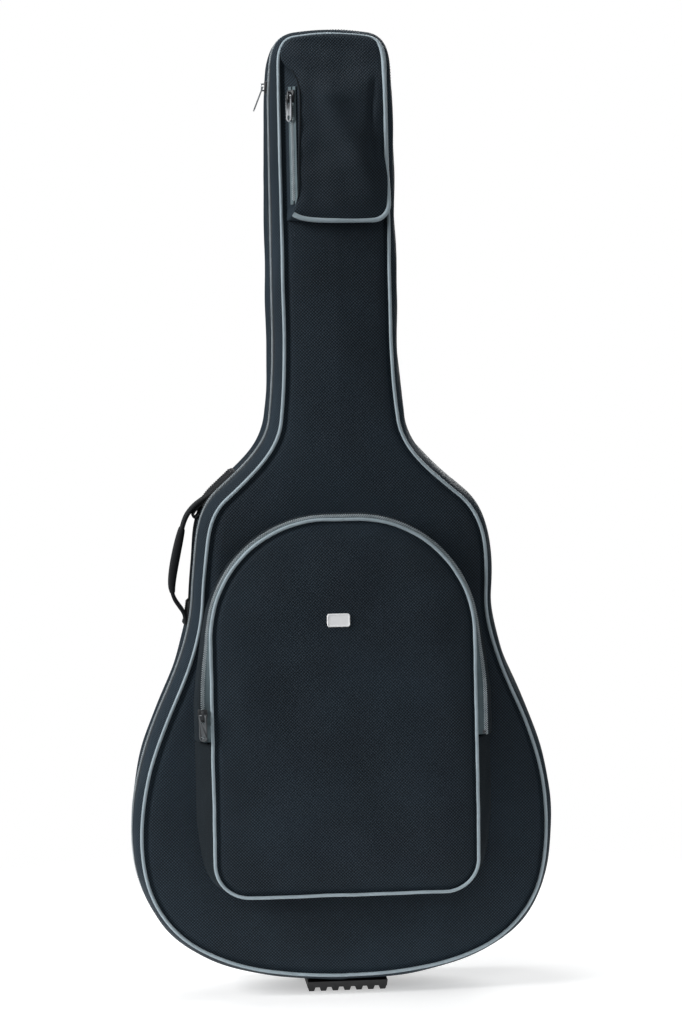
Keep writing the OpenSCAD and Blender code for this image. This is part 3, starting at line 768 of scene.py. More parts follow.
in_hinge = (seam[:, 0] > 0) & (seam[:, 1] > hinge_low) & (seam[:, 1] < hinge_high)
first_free = int(np.flatnonzero(in_hinge)[-1]) + 1
last_free = int(np.flatnonzero(in_hinge)[0]) - 1 + len(seam)
zip_index = np.arange(first_free, last_free + 1) % len(seam)
zip_line, zip_normal = seam[zip_index], seam_out[zip_index]
zip_run = length_run(zip_line)


def spot(line, normal, run, at, out, y):
    """Points at lengths along a flat line, moved out along its normal to that distance and Y."""
    flat, away = along_run(run, line, at), along_run(run, normal, at)
    away = away / np.linalg.norm(away, axis=-1, keepdims=True)
    return in_space(flat + np.asarray(out)[..., None] * away, y + 0 * at)


def tube(path, radius, sides, wrap=False, across=None):
    """Round section carried along a path in space: at each point a ring square to the path, turned
    to a side direction that stays close to a fixed one."""
    way = np.gradient(path, axis=0)
    if wrap:
        way = np.roll(path, -1, 0) - np.roll(path, 1, 0)
    way /= np.linalg.norm(way, axis=1)[:, None]
    side = np.cross(way, np.array([0.31, 0.87, 0.38]) if across is None else across)
    side /= np.linalg.norm(side, axis=1)[:, None]
    rise = np.cross(side, way)
    turn = np.linspace(0, 2 * math.pi, sides, endpoint=False)
    radius = np.broadcast_to(radius, len(path))[:, None, None]
    ring = np.cos(turn)[None, :, None] * side[:, None] + np.sin(turn)[None, :, None] * rise[:, None]
    grid = path[:, None] + radius * ring
    run = length_run(closed(path) if wrap else path)
    girth = np.linspace(0, 2 * math.pi, sides + 1)[None] * radius[:, :, 0]
    return swept(grid, run, closed(girth) if wrap else girth, wrap)


def coil(name, place, length, pitch, reach, height, side, finish):
    """One half of a nylon coil: a filament in a flattened spiral. place gives the point at a length
    along the zip, a distance across it and a height over the tape."""
    turns = int(length / pitch)
    angle = np.linspace(0, 2 * math.pi * turns, turns * 8 + 1)
    at = angle / (2 * math.pi) * pitch + (0 if side > 0 else pitch / 2)
    across = reach * (0.5 - 0.5 * np.cos(angle))
    lift = height * np.sin(angle)
    filament = tube(place(at, across, lift), 0.00036, 5, across=np.array([0.0, 0.6, 0.8]))
    return sew(name, filament, finish, 80)


def stitches(name, path, facing, pitch, finish, length=0.0021, width=0.0004):
    """A row of stitches on a path: each is a slim spindle of three rings that lies on the cloth,
    square to the facing direction."""
    run = length_run(path)
    count = max(2, int(run[-1] / pitch))
    at = (np.arange(count) + 0.5) * run[-1] / count
    middle = along(path, at)
    face = along_run(run, np.broadcast_to(facing, path.shape), at)
    way = along(path, np.clip(at + 0.0008, 0, run[-1])) - along(path, np.clip(at - 0.0008, 0, run[-1]))
    way /= np.linalg.norm(way, axis=1)[:, None]
    side = np.cross(way, face)
    side /= np.linalg.norm(side, axis=1)[:, None]
    rise = np.cross(side, way)
    spots = np.array([-0.5, -0.3, 0.3, 0.5]) * length
    fat = np.array([0.05, 0.8, 0.8, 0.05]) * width
    drop = np.array([-0.6, 0.35, 0.35, -0.6]) * width
    sides = 5
    turn = np.linspace(0, 2 * math.pi, sides, endpoint=False)
    ring = np.cos(turn)[None, :, None] * side[:, None] + np.sin(turn)[None, :, None] * rise[:, None]
    grid = (
        middle[:, None, None] + way[:, None, None] * spots[None, :, None, None]
        + rise[:, None, None] * drop[None, :, None, None] + ring[:, None] * fat[None, :, None, None]
    )
    per = len(spots) * sides
    first = (np.arange(count) * per)[:, None]
    quads = (lattice(len(spots), sides, False, True)[0][None] + first[:, None]).reshape(-1, 4)
    ends = np.concatenate([np.arange(sides)[::-1][None] + first, np.arange(per - sides, per)[None] + first])
    mesh = bpy.data.meshes.new(name)
    mesh.from_pydata(grid.reshape(-1, 3).tolist(), [], quads.tolist() + ends.tolist())
    uv = mesh.uv_layers.new(name="UVMap")
    loops = np.zeros(len(mesh.loops), np.int32)
    mesh.loops.foreach_get("vertex_index", loops)
    station = np.repeat(at, per) + np.tile(np.repeat(spots, sides), count)
    girth = np.tile(turn * width, len(spots) * count)
    uv.data.foreach_set("uv", np.stack([station, girth], 1)[loops].ravel())
    return placed(name, mesh, finish)


def ribbon(name, path, across, width, thick, finish, wrap=False):
    """Webbing carried along a path in space: a flat section with rounded edges, width across and
    thick deep."""
    way = np.roll(path, -1, 0) - np.roll(path, 1, 0) if wrap else np.gradient(path, axis=0)
    way = way / np.linalg.norm(way, axis=1)[:, None]
    across = np.broadcast_to(np.array(across, float), path.shape)
    across = across - (across * way).sum(1)[:, None] * way
    across = across / np.linalg.norm(across, axis=1)[:, None]
    rise = np.cross(way, across)
    half, deep = (
        np.broadcast_to(np.asarray(size, float) / 2, len(path))[:, None] for size in (width, thick)
    )
    side = np.array([-1, -0.97, -0.9, -0.6, -0.3, 0, 0.3, 0.6, 0.9, 0.97])
    side = np.concatenate([side, -side])[None]
    lift = np.array([0, 0.7, 1, 1, 1, 1, 1, 1, 1, 0.7])
    lift = np.concatenate([lift, -lift])[None]
    grid = path[:, None] + (half * side)[..., None] * across[:, None]
    grid = grid + (deep * lift)[..., None] * rise[:, None]
    run = length_run(closed(path) if wrap else path)
    girth = np.concatenate([side, side[:, :1]], 1) * half
    return sew(name, swept(grid, run, closed(girth) if wrap else girth, wrap), finish, 60)


def merged_copy(node, name, flatten=False):
    """The mesh of a CAD node, copied, with its triangles' points merged and no material. Flattened, its
    triangles that lie in one plane are joined."""
    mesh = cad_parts[node].data.copy()
    mesh.name = name
    mesh.materials.clear()
    work = bmesh.new()
    work.from_mesh(mesh)
    bmesh.ops.remove_doubles(work, verts=work.verts, dist=2e-6)
    if flatten:
        bmesh.ops.dissolve_limit(work, angle_limit=math.radians(2), verts=work.verts, edges=work.edges)
        bmesh.ops.recalc_face_normals(work, faces=work.faces)
    work.to_mesh(mesh)
    work.free()
    return mesh


def softened(node, name, width, finish, segments=2):
    """A copy of a moulded CAD part with its triangles merged, its flat faces joined and its edges
    rounded by the width."""
    mesh = merged_copy(node, name, flatten=True)
    made = placed(name, mesh, finish)
    bevel = made.modifiers.new("rounded", "BEVEL")
    bevel.width, bevel.segments, bevel.limit_method = width, segments, "ANGLE"
    bevel.angle_limit = math.radians(35)
    mesh.set_sharp_from_angle(angle=math.radians(40))
    return made


def main_tape(side):
    """Closed section of one half of the main zip's tape, at the points of its run."""
    out = np.array([-0.0001, 0.0002, 0.0002, -0.0004, -0.0012, -0.0010, -0.0010, -0.0008])
    y = side * np.array([0.0012, 0.0022, 0.0080, 0.0156, 0.0156, 0.0080, 0.0022, 0.0014])
    ones = np.ones((len(zip_line), 1))
    return zip_reach(zip_line[:, 1:]) + out[None], y[None] * ones


zip_metal = Finish("zip_metal")
wear = zip_metal.node("ShaderNodeNewGeometry", out=7).between(0.54, 0.70)
scratch = zip_metal.noise(700, 6, 0.7)
zip_metal.colour(wear + scratch * 0.12, (0.018, 0.020, 0.023), (0.36, 0.38, 0.40))
zip_metal.feed(zip_metal.shader.inputs["Metallic"], wear * 0.8 + 0.2)
zip_metal.rough(0.24 + scratch * 0.22)
zip_metal.relief(scratch, 0.00003)

for side, body, label in ((-1, "lid", "front"), (1, "rear_shell", "rear")):
    strip = carried(*main_tape(side), zip_line, zip_normal, zip_run, False)
    fix(sew(f"{label}_main_tape", strip, zip_tape), body, (f"{label}_zip_tape",))
    teeth = coil(
        f"{label}_main_coil",
        lambda at, across, lift: spot(
            zip_line, zip_normal, zip_run, at,
            zip_reach(np.interp(at, zip_run, zip_line[:, 1])) + 0.0008 + lift, side * (0.0002 + across),
        ),
        zip_run[-1] - 0.004, 0.0024, 0.0026, 0.0008, side, coil_nylon,
    )
    fix(teeth, body, (f"{label}_zip_teeth",))
    plane = front_at if side < 0 else rear_at
    for row, share in (("outer", 0.965), ("inner", 0.885)):
        z = zip_line[:, 1]
        reach = wall_reach(z, seam_run[:-1][zip_index], share, side) + 0.0001
        edge = plane(z) - side * 0.0006
        y = edge + (side * zip_lip - edge) * share
        row_path = in_space(zip_line + reach[:, None] * zip_normal, y)
        fix(stitches(f"{label}_tape_stitches_{row}", row_path, in_space(zip_normal, 0 * y), 0.0032, thread),
            body)

fix(softened("zip_stops", "main_zip_stops", 0.0004, zip_metal), "rear_shell", ("zip_stops",))

# The side wall without a zip: one strip of the same cloth joins both halves where the hinge is, as one fixed
# piece.
hinge_index = np.arange(last_free - len(seam), first_free + 1)
hinge_y = np.linspace(-zip_lip - 0.001, zip_lip + 0.001, 23)
hinge_dome = zip_out + 0.0006 + 0.0009 * np.cos(math.pi * hinge_y / (2 * zip_lip + 0.002))
hinge_section_out = np.concatenate([hinge_dome, hinge_dome[::-1] - cloth_t - 0.0008])[None]
hinge_section_y = np.concatenate([hinge_y, hinge_y[::-1]])[None]
hinge_rows = np.ones((len(hinge_index), 1))
hinge = sew(
    "hinge_strip",
    carried(hinge_section_out * hinge_rows, hinge_section_y * hinge_rows, seam[hinge_index],
            seam_out[hinge_index], length_run(seam[hinge_index]), False),
    shell_cloth,
)
fix(hinge, ("rear_shell", "lid"), ("hinge_panel",),
    span=((0.2435, 0.012, 0.18), (0.2435, -0.012, 0.18)))

# ---- Foot ----
# A moulded rubber bumper under the bottom seam: a flat block with seven ribs that stand on the
# floor, held to the rear half by rivets under its top plate. Its front and rear faces draw in
# towards the floor.
foot_rubber = Finish("foot_rubber", Specular_IOR_Level=0.4)
rubber_mottle = foot_rubber.noise(420, 5, 0.65)
rubber_dust = foot_rubber.noise(45, 3).between(0.45, 0.8)
foot_rubber.colour(rubber_mottle * 0.35 + rubber_dust * 0.5, (0.008, 0.008, 0.009), (0.045, 0.046, 0.048))
foot_rubber.rough(0.55 + rubber_mottle * 0.25)
foot_rubber.relief(rubber_mottle, 0.00025)
rubber_foot = softened("foot_bumper", "rubber_foot", 0.0012, foot_rubber, 3)
foot_draw_in, foot_height = 0.24, 0.014
foot_points = np.zeros(len(rubber_foot.data.vertices) * 3)
rubber_foot.data.vertices.foreach_get("co", foot_points)
foot_points = foot_points.reshape(-1, 3)
foot_points[:, 1] *= 1 - foot_draw_in * smooth(foot_height, 0.0, foot_points[:, 2])
rubber_foot.data.vertices.foreach_set("co", foot_points.ravel())
fix(rubber_foot, "rear_shell", ("foot_bumper",))

# ---- Front pocket ----
# A large pocket with an arched top. Its padded front is edged with piping; below the fold it joins
# slanted side walls, and above the fold a coil zip runs round the arch between front and walls.
pocket_corner, pocket_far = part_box("pouch_panel")[0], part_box("pouch_panel")[1]
pocket_x = (pocket_corner.x + pocket_far.x) / 2
pocket_half = (pocket_far.x - pocket_corner.x) / 2
pocket_low, pocket_high = pocket_corner.z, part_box("flap_panel")[1].z
pocket_plane, fold_z = pocket_corner.y, pocket_far.z
pocket_slope = (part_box("flap_panel")[1].y - 0.003 - pocket_plane) / (pocket_high - fold_z)
pocket_top_r, pocket_low_r = 0.132, 0.038
pocket_columns, pocket_rows = 60, 110
# Height, and how far out from the pocket's front edge its wall meets the panel
pocket_flare = np.array([
    [pocket_low, 0.0045], [pocket_low + 0.010, 0.0070], [pocket_low + 0.045, 0.0150],
    [pocket_low + 0.085, 0.0200],
    [0.345, 0.0200], [0.390, 0.0145], [0.430, 0.0095], [0.470, 0.0070], [pocket_high, 0.0068],
])


def pocket_at(z):
    """Y of the pocket's front plane, which leans back above the fold."""
    return pocket_plane + pocket_slope * np.clip(z - fold_z, 0, None)


def arc(middle, radius, start, stop, count):
    """Points on a circle in X and Z between two angles in degrees."""
    turn = np.radians(np.linspace(start, stop, count))
    return np.stack([middle[0] + radius * np.cos(turn), middle[1] + radius * np.sin(turn)], 1)


def lines(*corners, step=0.001):
    """Points along straight lines between corners."""
    corners = np.array(corners, float)
    run = length_run(corners)
    return along(corners, np.linspace(0, run[-1], max(2, int(run[-1] / step))))


def half_outline(half, low, high, low_r, top_r, step, counts):
    """Right half of an outline with round corners, from its bottom middle to its top middle."""
    return np.concatenate([
        lines((0, low), (half - low_r, low), step=step)[:-1],
        arc((half - low_r, low + low_r), low_r, -90, 0, counts[0]),
        lines((half, low + low_r), (half, high - top_r), step=step)[1:-1],
        arc((half - top_r, high - top_r), top_r, 0, 90, counts[1]),
        lines((half - top_r, high), (0, high), step=step)[1:],
    ])


pocket_half_line = half_outline(
    pocket_half, pocket_low, pocket_high, pocket_low_r, pocket_top_r, 0.001, (40, 120)
)
pocket_line = closed_line(
    pocket_half_line,
    np.argmax(pocket_half_line[:, 1] > pocket_low + 0.012),
    np.argmax(pocket_half_line[:, 1] > pocket_high - 0.040),
    pocket_columns, pocket_rows,
) + [pocket_x, 0]
pocket_out = outward(pocket_line)
pocket_run = length_run(closed(pocket_line))


def front_cloth(x, z):
    """Y of the front panel's cloth at points on it."""
    return front_at(z) - front_swell(x, z, inset_of(x, z))


def pocket_swell(x, z, inset):
    """How far the pocket's front stands proud: a rounded edge, a broad crown and slack cloth."""
    loose = 0.0011 * smooth(0.006, 0.04, inset) * rumple(x, z, 51, 0.26, 0.07)
    return shoulder_of(inset, 0.0010, 0.0016, 0.009) + 0.0070 * fullness(inset) + loose


fold_span = ((pocket_x, pocket_plane, fold_z - 0.010), (pocket_x, pocket_plane, fold_z + 0.010))
pocket_front = padded_face(
    "pocket_front", pocket_line, (pocket_columns, pocket_rows), pocket_at, pocket_swell,
    [0, 0.0012, 0.0024, 0.0036, 0.005, 0.0068, 0.009, 0.012], 0.0034, shell_cloth,
)
fix(pocket_front, ("lid", "pocket_flap"), ("pouch_panel", "flap_panel"), fold_span)
pocket_piping = sew(
    "pocket_piping_cord",
    carried(*piping_section(pocket_at(pocket_line[:, 1]), -1, sway=52), pocket_line, pocket_out, pocket_run),
    piping_cover,
)
fix(pocket_piping, ("lid", "pocket_flap"), ("pouch_piping", "flap_piping"), span=fold_span)

# Side walls of the pocket: cloth that slants out to its seam on the front panel.
black_cloth = woven(
    "black_cloth", (0.001, 0.0015, 0.002), (0.016, 0.024, 0.031), 0.0020, 0.0003, 0.62, 0.05
)
below = np.flatnonzero(pocket_line[:, 1] <= fold_z + 0.001)
below = np.concatenate([below[below > len(pocket_line) // 2], below[below < len(pocket_line) // 2]])
above = np.flatnonzero(pocket_line[:, 1] >= fold_z - 0.001)


def pocket_wall(name, index, start_out, start_y, seed):
    """The pocket's side wall along part of its edge: from the front edge down and out to the seam on
    the panel with a slight swell, and back at the cloth's thickness."""
    line, normal = pocket_line[index], pocket_out[index]
    base_out = np.interp(line[:, 1:], pocket_flare[:, 0], pocket_flare[:, 1])
    base = line + base_out * normal
    base_y = front_cloth(base[:, 0], base[:, 1])[:, None] + 0.0008
    t = np.linspace(0, 1, 13)[None]
    top_y = pocket_at(line[:, 1])[:, None] + start_y
    run = length_run(line)[:, None]
    sag = 0.0022 * np.sin(math.pi * t**0.8)
    sag = sag + 0.0007 * rumple(run, t * 0.05, seed, 0.12, 0.03) * np.sin(math.pi * t)
    out = start_out + (base_out - start_out) * t ** 1.15 + sag * np.clip(base_out / 0.014, 0.3, 1)
    y = top_y + (base_y - top_y) * t
    out, y = (np.concatenate([a, b[:, ::-1]], 1) for a, b in ((out, out - 0.0013), (y, y + 0.0006)))
    return sew(name, carried(out, y, line, normal, run[:, 0], False), black_cloth)


arch_line, arch_normal = pocket_line[above], pocket_out[above]
arch_run = length_run(arch_line)
zip_open_z, zip_steep_z = 0.345, 0.440


def arch_zip(z, across, lift):
    """Distance out and Y on the slope that carries the arched zip. The slope is steep round the arch
    and lies open, facing the front, near both ends of the zip."""
    tilt = math.radians(58) * smooth(zip_open_z, zip_steep_z, z)
    out = 0.0018 + across * np.cos(tilt) + lift * np.sin(tilt)
    return out, pocket_at(z) + 0.0002 + across * np.sin(tilt) - lift * np.cos(tilt)


def arch_coil_at(z):
    """Distance of the coil's middle line up that slope from the piping."""
    return 0.0092 - 0.0054 * smooth(zip_open_z, zip_steep_z, z)


arch_z = arch_line[:, 1:]
wall_start_out, wall_start_y = arch_zip(arch_z, arch_coil_at(arch_z) + 0.0034, -0.0006)
fix(pocket_wall("pouch_side_wall", below, 0.0012, 0.0012, 53), "lid", ("pouch_gusset",))
fix(pocket_wall("arch_side_wall", above, wall_start_out, wall_start_y - pocket_at(arch_z), 54),
    "lid", ("arch_gusset",))

# Arched zip: teal-grey tape stitched behind the piping and in front of the wall, and its coil.
bright_tape = Finish("bright_zip_tape", Sheen_Weight=0.2, Specular_IOR_Level=0.35)
bright_rib = bright_tape.cloth_axes()[0].ridges(0.0009)
bright_tone = bright_tape.noise(60, 3)
bright_tape.colour(bright_rib * 0.3 + bright_tone * 0.6, (0.028, 0.044, 0.050), (0.15, 0.21, 0.235))
bright_tape.rough(0.62 + bright_tone * 0.15)
bright_tape.relief(bright_rib, 0.00012)


def arch_strip(name, low, high, finish):
    """A strip of tape round the arch between two distances up the zip's slope."""
    share = np.array([0, 0.5, 1, 1, 0.5, 0])[None]
    lift = np.array([0.0, 0.0, 0.0, -0.0009, -0.0009, -0.0009])[None]
    section = arch_zip(arch_z, low + (high - low) * share, lift)
    return sew(name, carried(*section, arch_line, arch_normal, arch_run, False), finish)


def on_arch(sign):
    """Point maker for one half of the coil on the zip's slope."""

    def place(at, across, lift):
        z = np.interp(at, arch_run, arch_line[:, 1])
        out, y = arch_zip(z, arch_coil_at(z) + sign * (0.0001 + across), 0.0006 + lift)
        return spot(arch_line, arch_normal, arch_run, at, out, y)

    return place


fix(arch_strip("flap_tape", 0.0, arch_coil_at(arch_z) - 0.0006, bright_tape), "pocket_flap",
    ("flap_zip_tape",))
fix(arch_strip("arch_tape", arch_coil_at(arch_z) + 0.0006, arch_coil_at(arch_z) + 0.0038, zip_tape),
    "lid", ("arch_zip_tape",))
fix(coil("flap_coil", on_arch(-1), arch_run[-1], 0.0024, 0.0019, 0.0007, -1, coil_nylon),
    "pocket_flap", ("flap_zip_teeth",))
fix(coil("arch_coil", on_arch(1), arch_run[-1], 0.0024, 0.0019, 0.0007, 1, coil_nylon),
    "lid", ("arch_zip_teeth",))
fix(softened("arch_zip_stops", "arch_zip_end_stops", 0.0003, zip_metal),
    "lid", ("arch_zip_stops",))

# ---- Zip sliders and pulls ----
# Die-cast sliders plated in black nickel. Each pull is a flat bar with a window at its bridge end
# and a round hole at the other, and swings from the slider's bridge.
for node in ("main_slider", "pocket_slider", "head_slider"):
    fix(softened(node, f"{node}_casting", 0.0005, zip_metal, 3), node, (node,))
for node in ("main_pull", "pocket_pull", "head_pull"):
    fix(softened(node, f"{node}_bar", 0.0004, zip_metal, 3), node, (node,))

# ---- Label ----
# A small blank moulded label with a raised rim, sewn to the pocket's front above the middle.
label_low, label_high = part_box("label_patch")
label_middle = np.array([(label_low.x + label_high.x) / 2, (label_low.z + label_high.z) / 2])
label_half = np.array([(label_high.x - label_low.x) / 2, (label_high.z - label_low.z) / 2])
label_face = Finish("label_face", Specular_IOR_Level=0.5, Coat_Weight=0.15)
label_grain = label_face.noise(800, 4)
label_tone = label_face.noise(60, 2)
label_face.colour(label_grain * 0.4 + label_tone * 0.5, (0.80, 0.81, 0.83), (0.98, 0.98, 0.99))
label_face.rough(0.38 + label_grain * 0.15)
label_face.relief(label_grain, 0.00006)


def label_rim(x, z, inset):
    """A rim a millimetre wide round a flat field that lies a little lower."""
    return 0.0013 * smooth(-0.0002, 0.0006, inset) - 0.00045 * smooth(0.0011, 0.0017, inset)


label_corner_r, label_corner_share = 0.0028, 0.3
label_half_line = half_outline(
    label_half[0], -label_half[1], label_half[1], label_corner_r, label_corner_r, 0.0003, (24, 24)
)
label_line = closed_line(
    label_half_line,
    np.argmax(label_half_line[:, 1] > label_corner_r * label_corner_share - label_half[1]),
    np.argmax(label_half_line[:, 1] > label_half[1] - label_corner_r * label_corner_share),
    24, 16,
) + label_middle
label_seat = pocket_swell(*(np.array([[v]]) for v in (*label_middle, 0.2))).item()
label_plane = pocket_at(label_middle[1]) - label_seat - 0.0001
label_patch = padded_face(
    "label_patch_moulded", label_line, (24, 16),
    lambda z: label_plane + pocket_slope * (z - label_middle[1]), label_rim,
    [0, 0.0002, 0.0004, 0.0007, 0.0010, 0.0013, 0.0016, 0.0020], 0.0004, label_face,
)
fix(label_patch, "pocket_flap", ("label_patch",))

# ---- Head pocket ----
# A small bellows pocket over the head of the bag: a puckered front edged with piping at the right
# and below, a slanted left side with a straight zip, and a narrow wall along the other sides.
head_low, head_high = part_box("head_pocket")
head_edge_x, head_depth, head_corner_r = -0.036, 0.024, 0.018
# Height and X of the overhanging left edge
head_left = np.array([
    [0.884, -0.0490], [0.8954, -0.0480], [0.9114, -0.0425], [0.9263, -0.0412], [0.9514, -0.0408],
    [0.9742, -0.0400], [0.9913, -0.0390], [1.0119, -0.0385], [1.0290, -0.0385], [1.0427, -0.0410],
    [1.0542, -0.0470], [1.0633, -0.0560], [1.0660, -0.0575],
])
head_right = head_high.x
head_taper = 0.018
head_columns, head_rows = 36, 70


def head_sides(left_x, low_z, right_x, corner_r, inset):
    """Bottom, right, top and left sides of an outline over the head: straight left and right sides,
    a round lower right corner and the seam's own curve on top."""
    normal = outward(np.concatenate([half_line, half_line[::-1] * [-1, 1]]))[: len(half_line)]
    curve = (half_line - inset * normal)[half_line[:, 1] > 0.90]
    curve = np.concatenate([curve, curve[::-1] * [-1, 1]])
    x, z = curve.T
    curve = curve[(z > 0.95) & ((x > 0) | ((z >= 1.0) & (x > left_x)))]
    curve[:, 0] = np.minimum(curve[:, 0], right_x)
    full = np.concatenate([
        lines((left_x, low_z), (right_x - corner_r, low_z))[:-1],
        arc((right_x - corner_r, low_z + corner_r), corner_r, -90, 0, 24),
        lines((right_x, low_z + corner_r), (right_x, curve[0, 1]))[1:],
        curve,
    ])
    run = length_run(full)
    low_mark = run[np.argmax(full[:, 1] > low_z + corner_r * 0.3)]
    high_mark = run[np.argmax(full[:, 1] > seam_high - 0.012 - inset)]
    bottom = along(full, np.linspace(0, low_mark, head_columns + 1))
    right = along(full, np.linspace(low_mark, high_mark, head_rows + 1))
    top = along(full, np.linspace(high_mark, run[-1], head_columns + 1))[::-1]
    left = np.linspace(bottom[0], top[0], head_rows + 1)
    return bottom, right, top, left


def head_plane(z):
    """Y of the head pocket's front, which draws in towards the top."""
    return front_at(z) - head_depth + head_taper * smooth(1.02, 1.09, z)


def head_front_y(x, z, inset):
    """Y of the pocket's front: its plane, a crown that is fullest in the lower middle, puckers that
    run in from the right edge, and slack cloth."""
    middle = bump(x, 0.022, 0.034) * bump(z, 0.945, 0.050)
    waist = bump(x, 0.055, 0.020) * bump(z, 0.965, 0.022)
    ridge = bump(x + 0.014, 0.5 * (1.03 - z), 0.016) * smooth(1.06, 1.02, z) * smooth(0.90, 0.95, z)
    gutter = bump(x, 0.047 - 0.006 * np.sin((z - 0.93) / 0.12 * math.pi), 0.0028)
    gutter = gutter * smooth(0.925, 0.95, z) * smooth(1.055, 1.03, z)
    pucker = np.sin((z + 0.35 * x) * 2 * math.pi / 0.034) * smooth(0.045, 0.0, inset) * 0.0006
    crown = 0.0030 * (1 - np.exp(-inset / 0.010)) + 0.0085 * middle - 0.0035 * waist + 0.0045 * ridge
    slack = 0.0010 * smooth(0.003, 0.02, inset) * rumple(x, z, 61, 0.09, 0.03)
    return head_plane(z) - crown - slack - (pucker - 0.0028 * gutter) * smooth(0.0, 0.004, inset)


def edge_gap(grid, sides):
    """Distance from grid points to the nearest of the sides' points."""
    dense = [along(side, np.linspace(0, length_run(side)[-1], 300)) for side in sides]
    return nearest(grid, np.concatenate(dense))


face_sides = head_sides(head_left[-1, 1], head_low.z, head_right, head_corner_r, 0.0012)
base_sides = head_sides(-0.0545, head_low.z + 0.001, head_right + 0.0006, head_corner_r, 0.0012)
right_z = face_sides[1][:, 1]
face_sides[1][:, 0] -= 0.0016 * smooth(0.915, 0.965, right_z) * smooth(1.10, 1.05, right_z)
face_sides[3][:, 0] = np.interp(face_sides[3][:, 1], head_left[:, 0], head_left[:, 1])
face_sides[3][-1] = face_sides[2][0]
face_sides[0][:, 0] += (head_left[0, 1] - head_left[-1, 1]) * np.linspace(1, 0, head_columns + 1) ** 2
face_sides[0][:, 1] += 0.0080 * np.exp(-np.linspace(0, 8.0, head_columns + 1))
face_sides[3][:, 1] += 0.0080 * np.exp(-np.linspace(0, 20.0, head_rows + 1))
face_grid, base_grid = coons(*face_sides), coons(*base_sides)
face_gap = edge_gap(face_grid, face_sides)
face_y = head_front_y(face_grid[..., 0], face_grid[..., 1], face_gap)
base_y = front_cloth(base_grid[..., 0], base_grid[..., 1]) + 0.0004


def rim_of(grid):
    """The outer points of a grid, as one closed line."""
    return np.concatenate([grid[0], grid[1:, -1], grid[-1, -2::-1], grid[-2:0:-1, 0]])


face_rim, base_rim = rim_of(in_space(face_grid, face_y)), rim_of(in_space(base_grid, base_y))
rise = np.linspace(0, 1, 9)[:, None, None]
middle_out = rim_of(base_grid) - base_grid.reshape(-1, 2).mean(0)
middle_out = middle_out / np.linalg.norm(middle_out, axis=1)[:, None]
belly = 0.0022 * np.sin(math.pi * rise) * in_space(middle_out, 0 * middle_out[:, 0])[None]
left_share = np.zeros(len(face_rim))
left_count = np.arange(head_rows - 1)
left_share[-(head_rows - 1):] = smooth(0, 4, np.minimum(left_count, left_count[::-1]))
under = np.clip((head_edge_x - face_rim[:, 0]) / 0.0185, 0.08, 0.9)
late = np.clip((rise[..., 0] - 0.25) / 0.75, 0, 1)
depth_share = np.where(rise[..., 0] < 0.25, under * rise[..., 0] / 0.25, under + (1 - under) * late)
across_share = left_share * late + (1 - left_share) * rise[..., 0]
depth_share = left_share * depth_share + (1 - left_share) * rise[..., 0]
shares = np.stack([across_share, depth_share, across_share], -1)
wall_grid = face_rim[None] + (base_rim - face_rim)[None] * shares + belly * (1 - left_share)[None, :, None]
rim_run = length_run(closed(face_rim))
wall_uv = np.stack(np.broadcast_arrays(rim_run[None], np.linspace(0, 0.026, 9)[:, None]), -1)
head_shell = sew("head_pocket_shell", [
    (in_space(face_grid, face_y), face_grid, False, False),
    (wall_grid, wall_uv, False, True),
    (in_space(base_grid, base_y), base_grid, False, False),
], shell_cloth, 80)
fix(head_shell, "lid", ("head_pocket",))

head_pipe_flat = np.concatenate([face_sides[0], face_sides[1][1:], face_sides[2][-2:-9:-1]])
head_pipe_flat = along(head_pipe_flat, np.linspace(0, length_run(head_pipe_flat)[-1], 190))
head_pipe_y = head_plane(head_pipe_flat[:, 1]) - 0.0008
merge = smooth(170, 188, np.arange(190.0))
head_pipe_y += merge * (front_at(head_pipe_flat[:, 1]) - 0.0006 - head_pipe_y)
head_pipe_flat += 0.0016 * merge[:, None] * [0.7, 0.7]
head_pipe_r = 0.0020 + 0.0007 * smooth(0.935, 0.900, head_pipe_flat[:, 1])
across_y = np.array([0.0, 1.0, 0.0])
head_pipe = tube(in_space(head_pipe_flat, head_pipe_y), head_pipe_r, 12, across=across_y)
fix(sew("head_pocket_piping_cord", head_pipe, piping_cover), "lid", ("head_pocket_piping",))

lip_rows = slice(8, head_rows - 6)
lip_flat = face_sides[3][lip_rows]
lip_r = 0.0012 * np.sin(np.linspace(0.08, math.pi - 0.08, len(lip_flat))) ** 0.4
lip = tube(in_space(lip_flat, head_plane(lip_flat[:, 1]) - 0.0006), lip_r, 8, across=across_y)
fix(sew("head_pocket_edge_binding", lip, black_cloth), "lid")

zip_low_z, zip_high_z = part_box("head_zip_teeth")[0].z + 0.001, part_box("head_zip_teeth")[1].z - 0.001
slope_across = np.array([0.6, -0.8, 0.0])
slope_up = np.array([0, front_lean / (seam_high - lean_start), 1.0])
slope_face = np.cross(slope_across, slope_up / np.linalg.norm(slope_up))
slope_face = slope_face * np.sign(slope_face[1]) * -1


def on_head_slope(at, across, lift):
    """Points on the slanted side: up it by a length, across it from its middle line, and lifted."""
    z = zip_low_z + at
    middle = np.stack([-0.045 + 0 * z, front_at(z) - 0.012, z], -1)
    return middle + np.multiply.outer(across, slope_across) + np.multiply.outer(lift + 0.0022, slope_face)


for side, label in ((-1, "outer"), (1, "inner")):
    up = np.linspace(-0.004, zip_high_z - zip_low_z + 0.004, 60)
    middle = on_head_slope(up, side * 0.0036 + 0 * up, -0.0004 + 0 * up)
    fix(ribbon(f"head_zip_tape_{label}", middle, slope_across, 0.0052, 0.0009, bright_tape),
        "lid", ("head_zip_tape",))
    row = coil(
        f"head_zip_coil_{label}",
        lambda at, across, lift: on_head_slope(at, side * (0.0002 + across), 0.0004 + lift),
        zip_high_z - zip_low_z, 0.0022, 0.0021, 0.0007, side, coil_nylon,
    )
    fix(row, "lid", ("head_zip_teeth",))
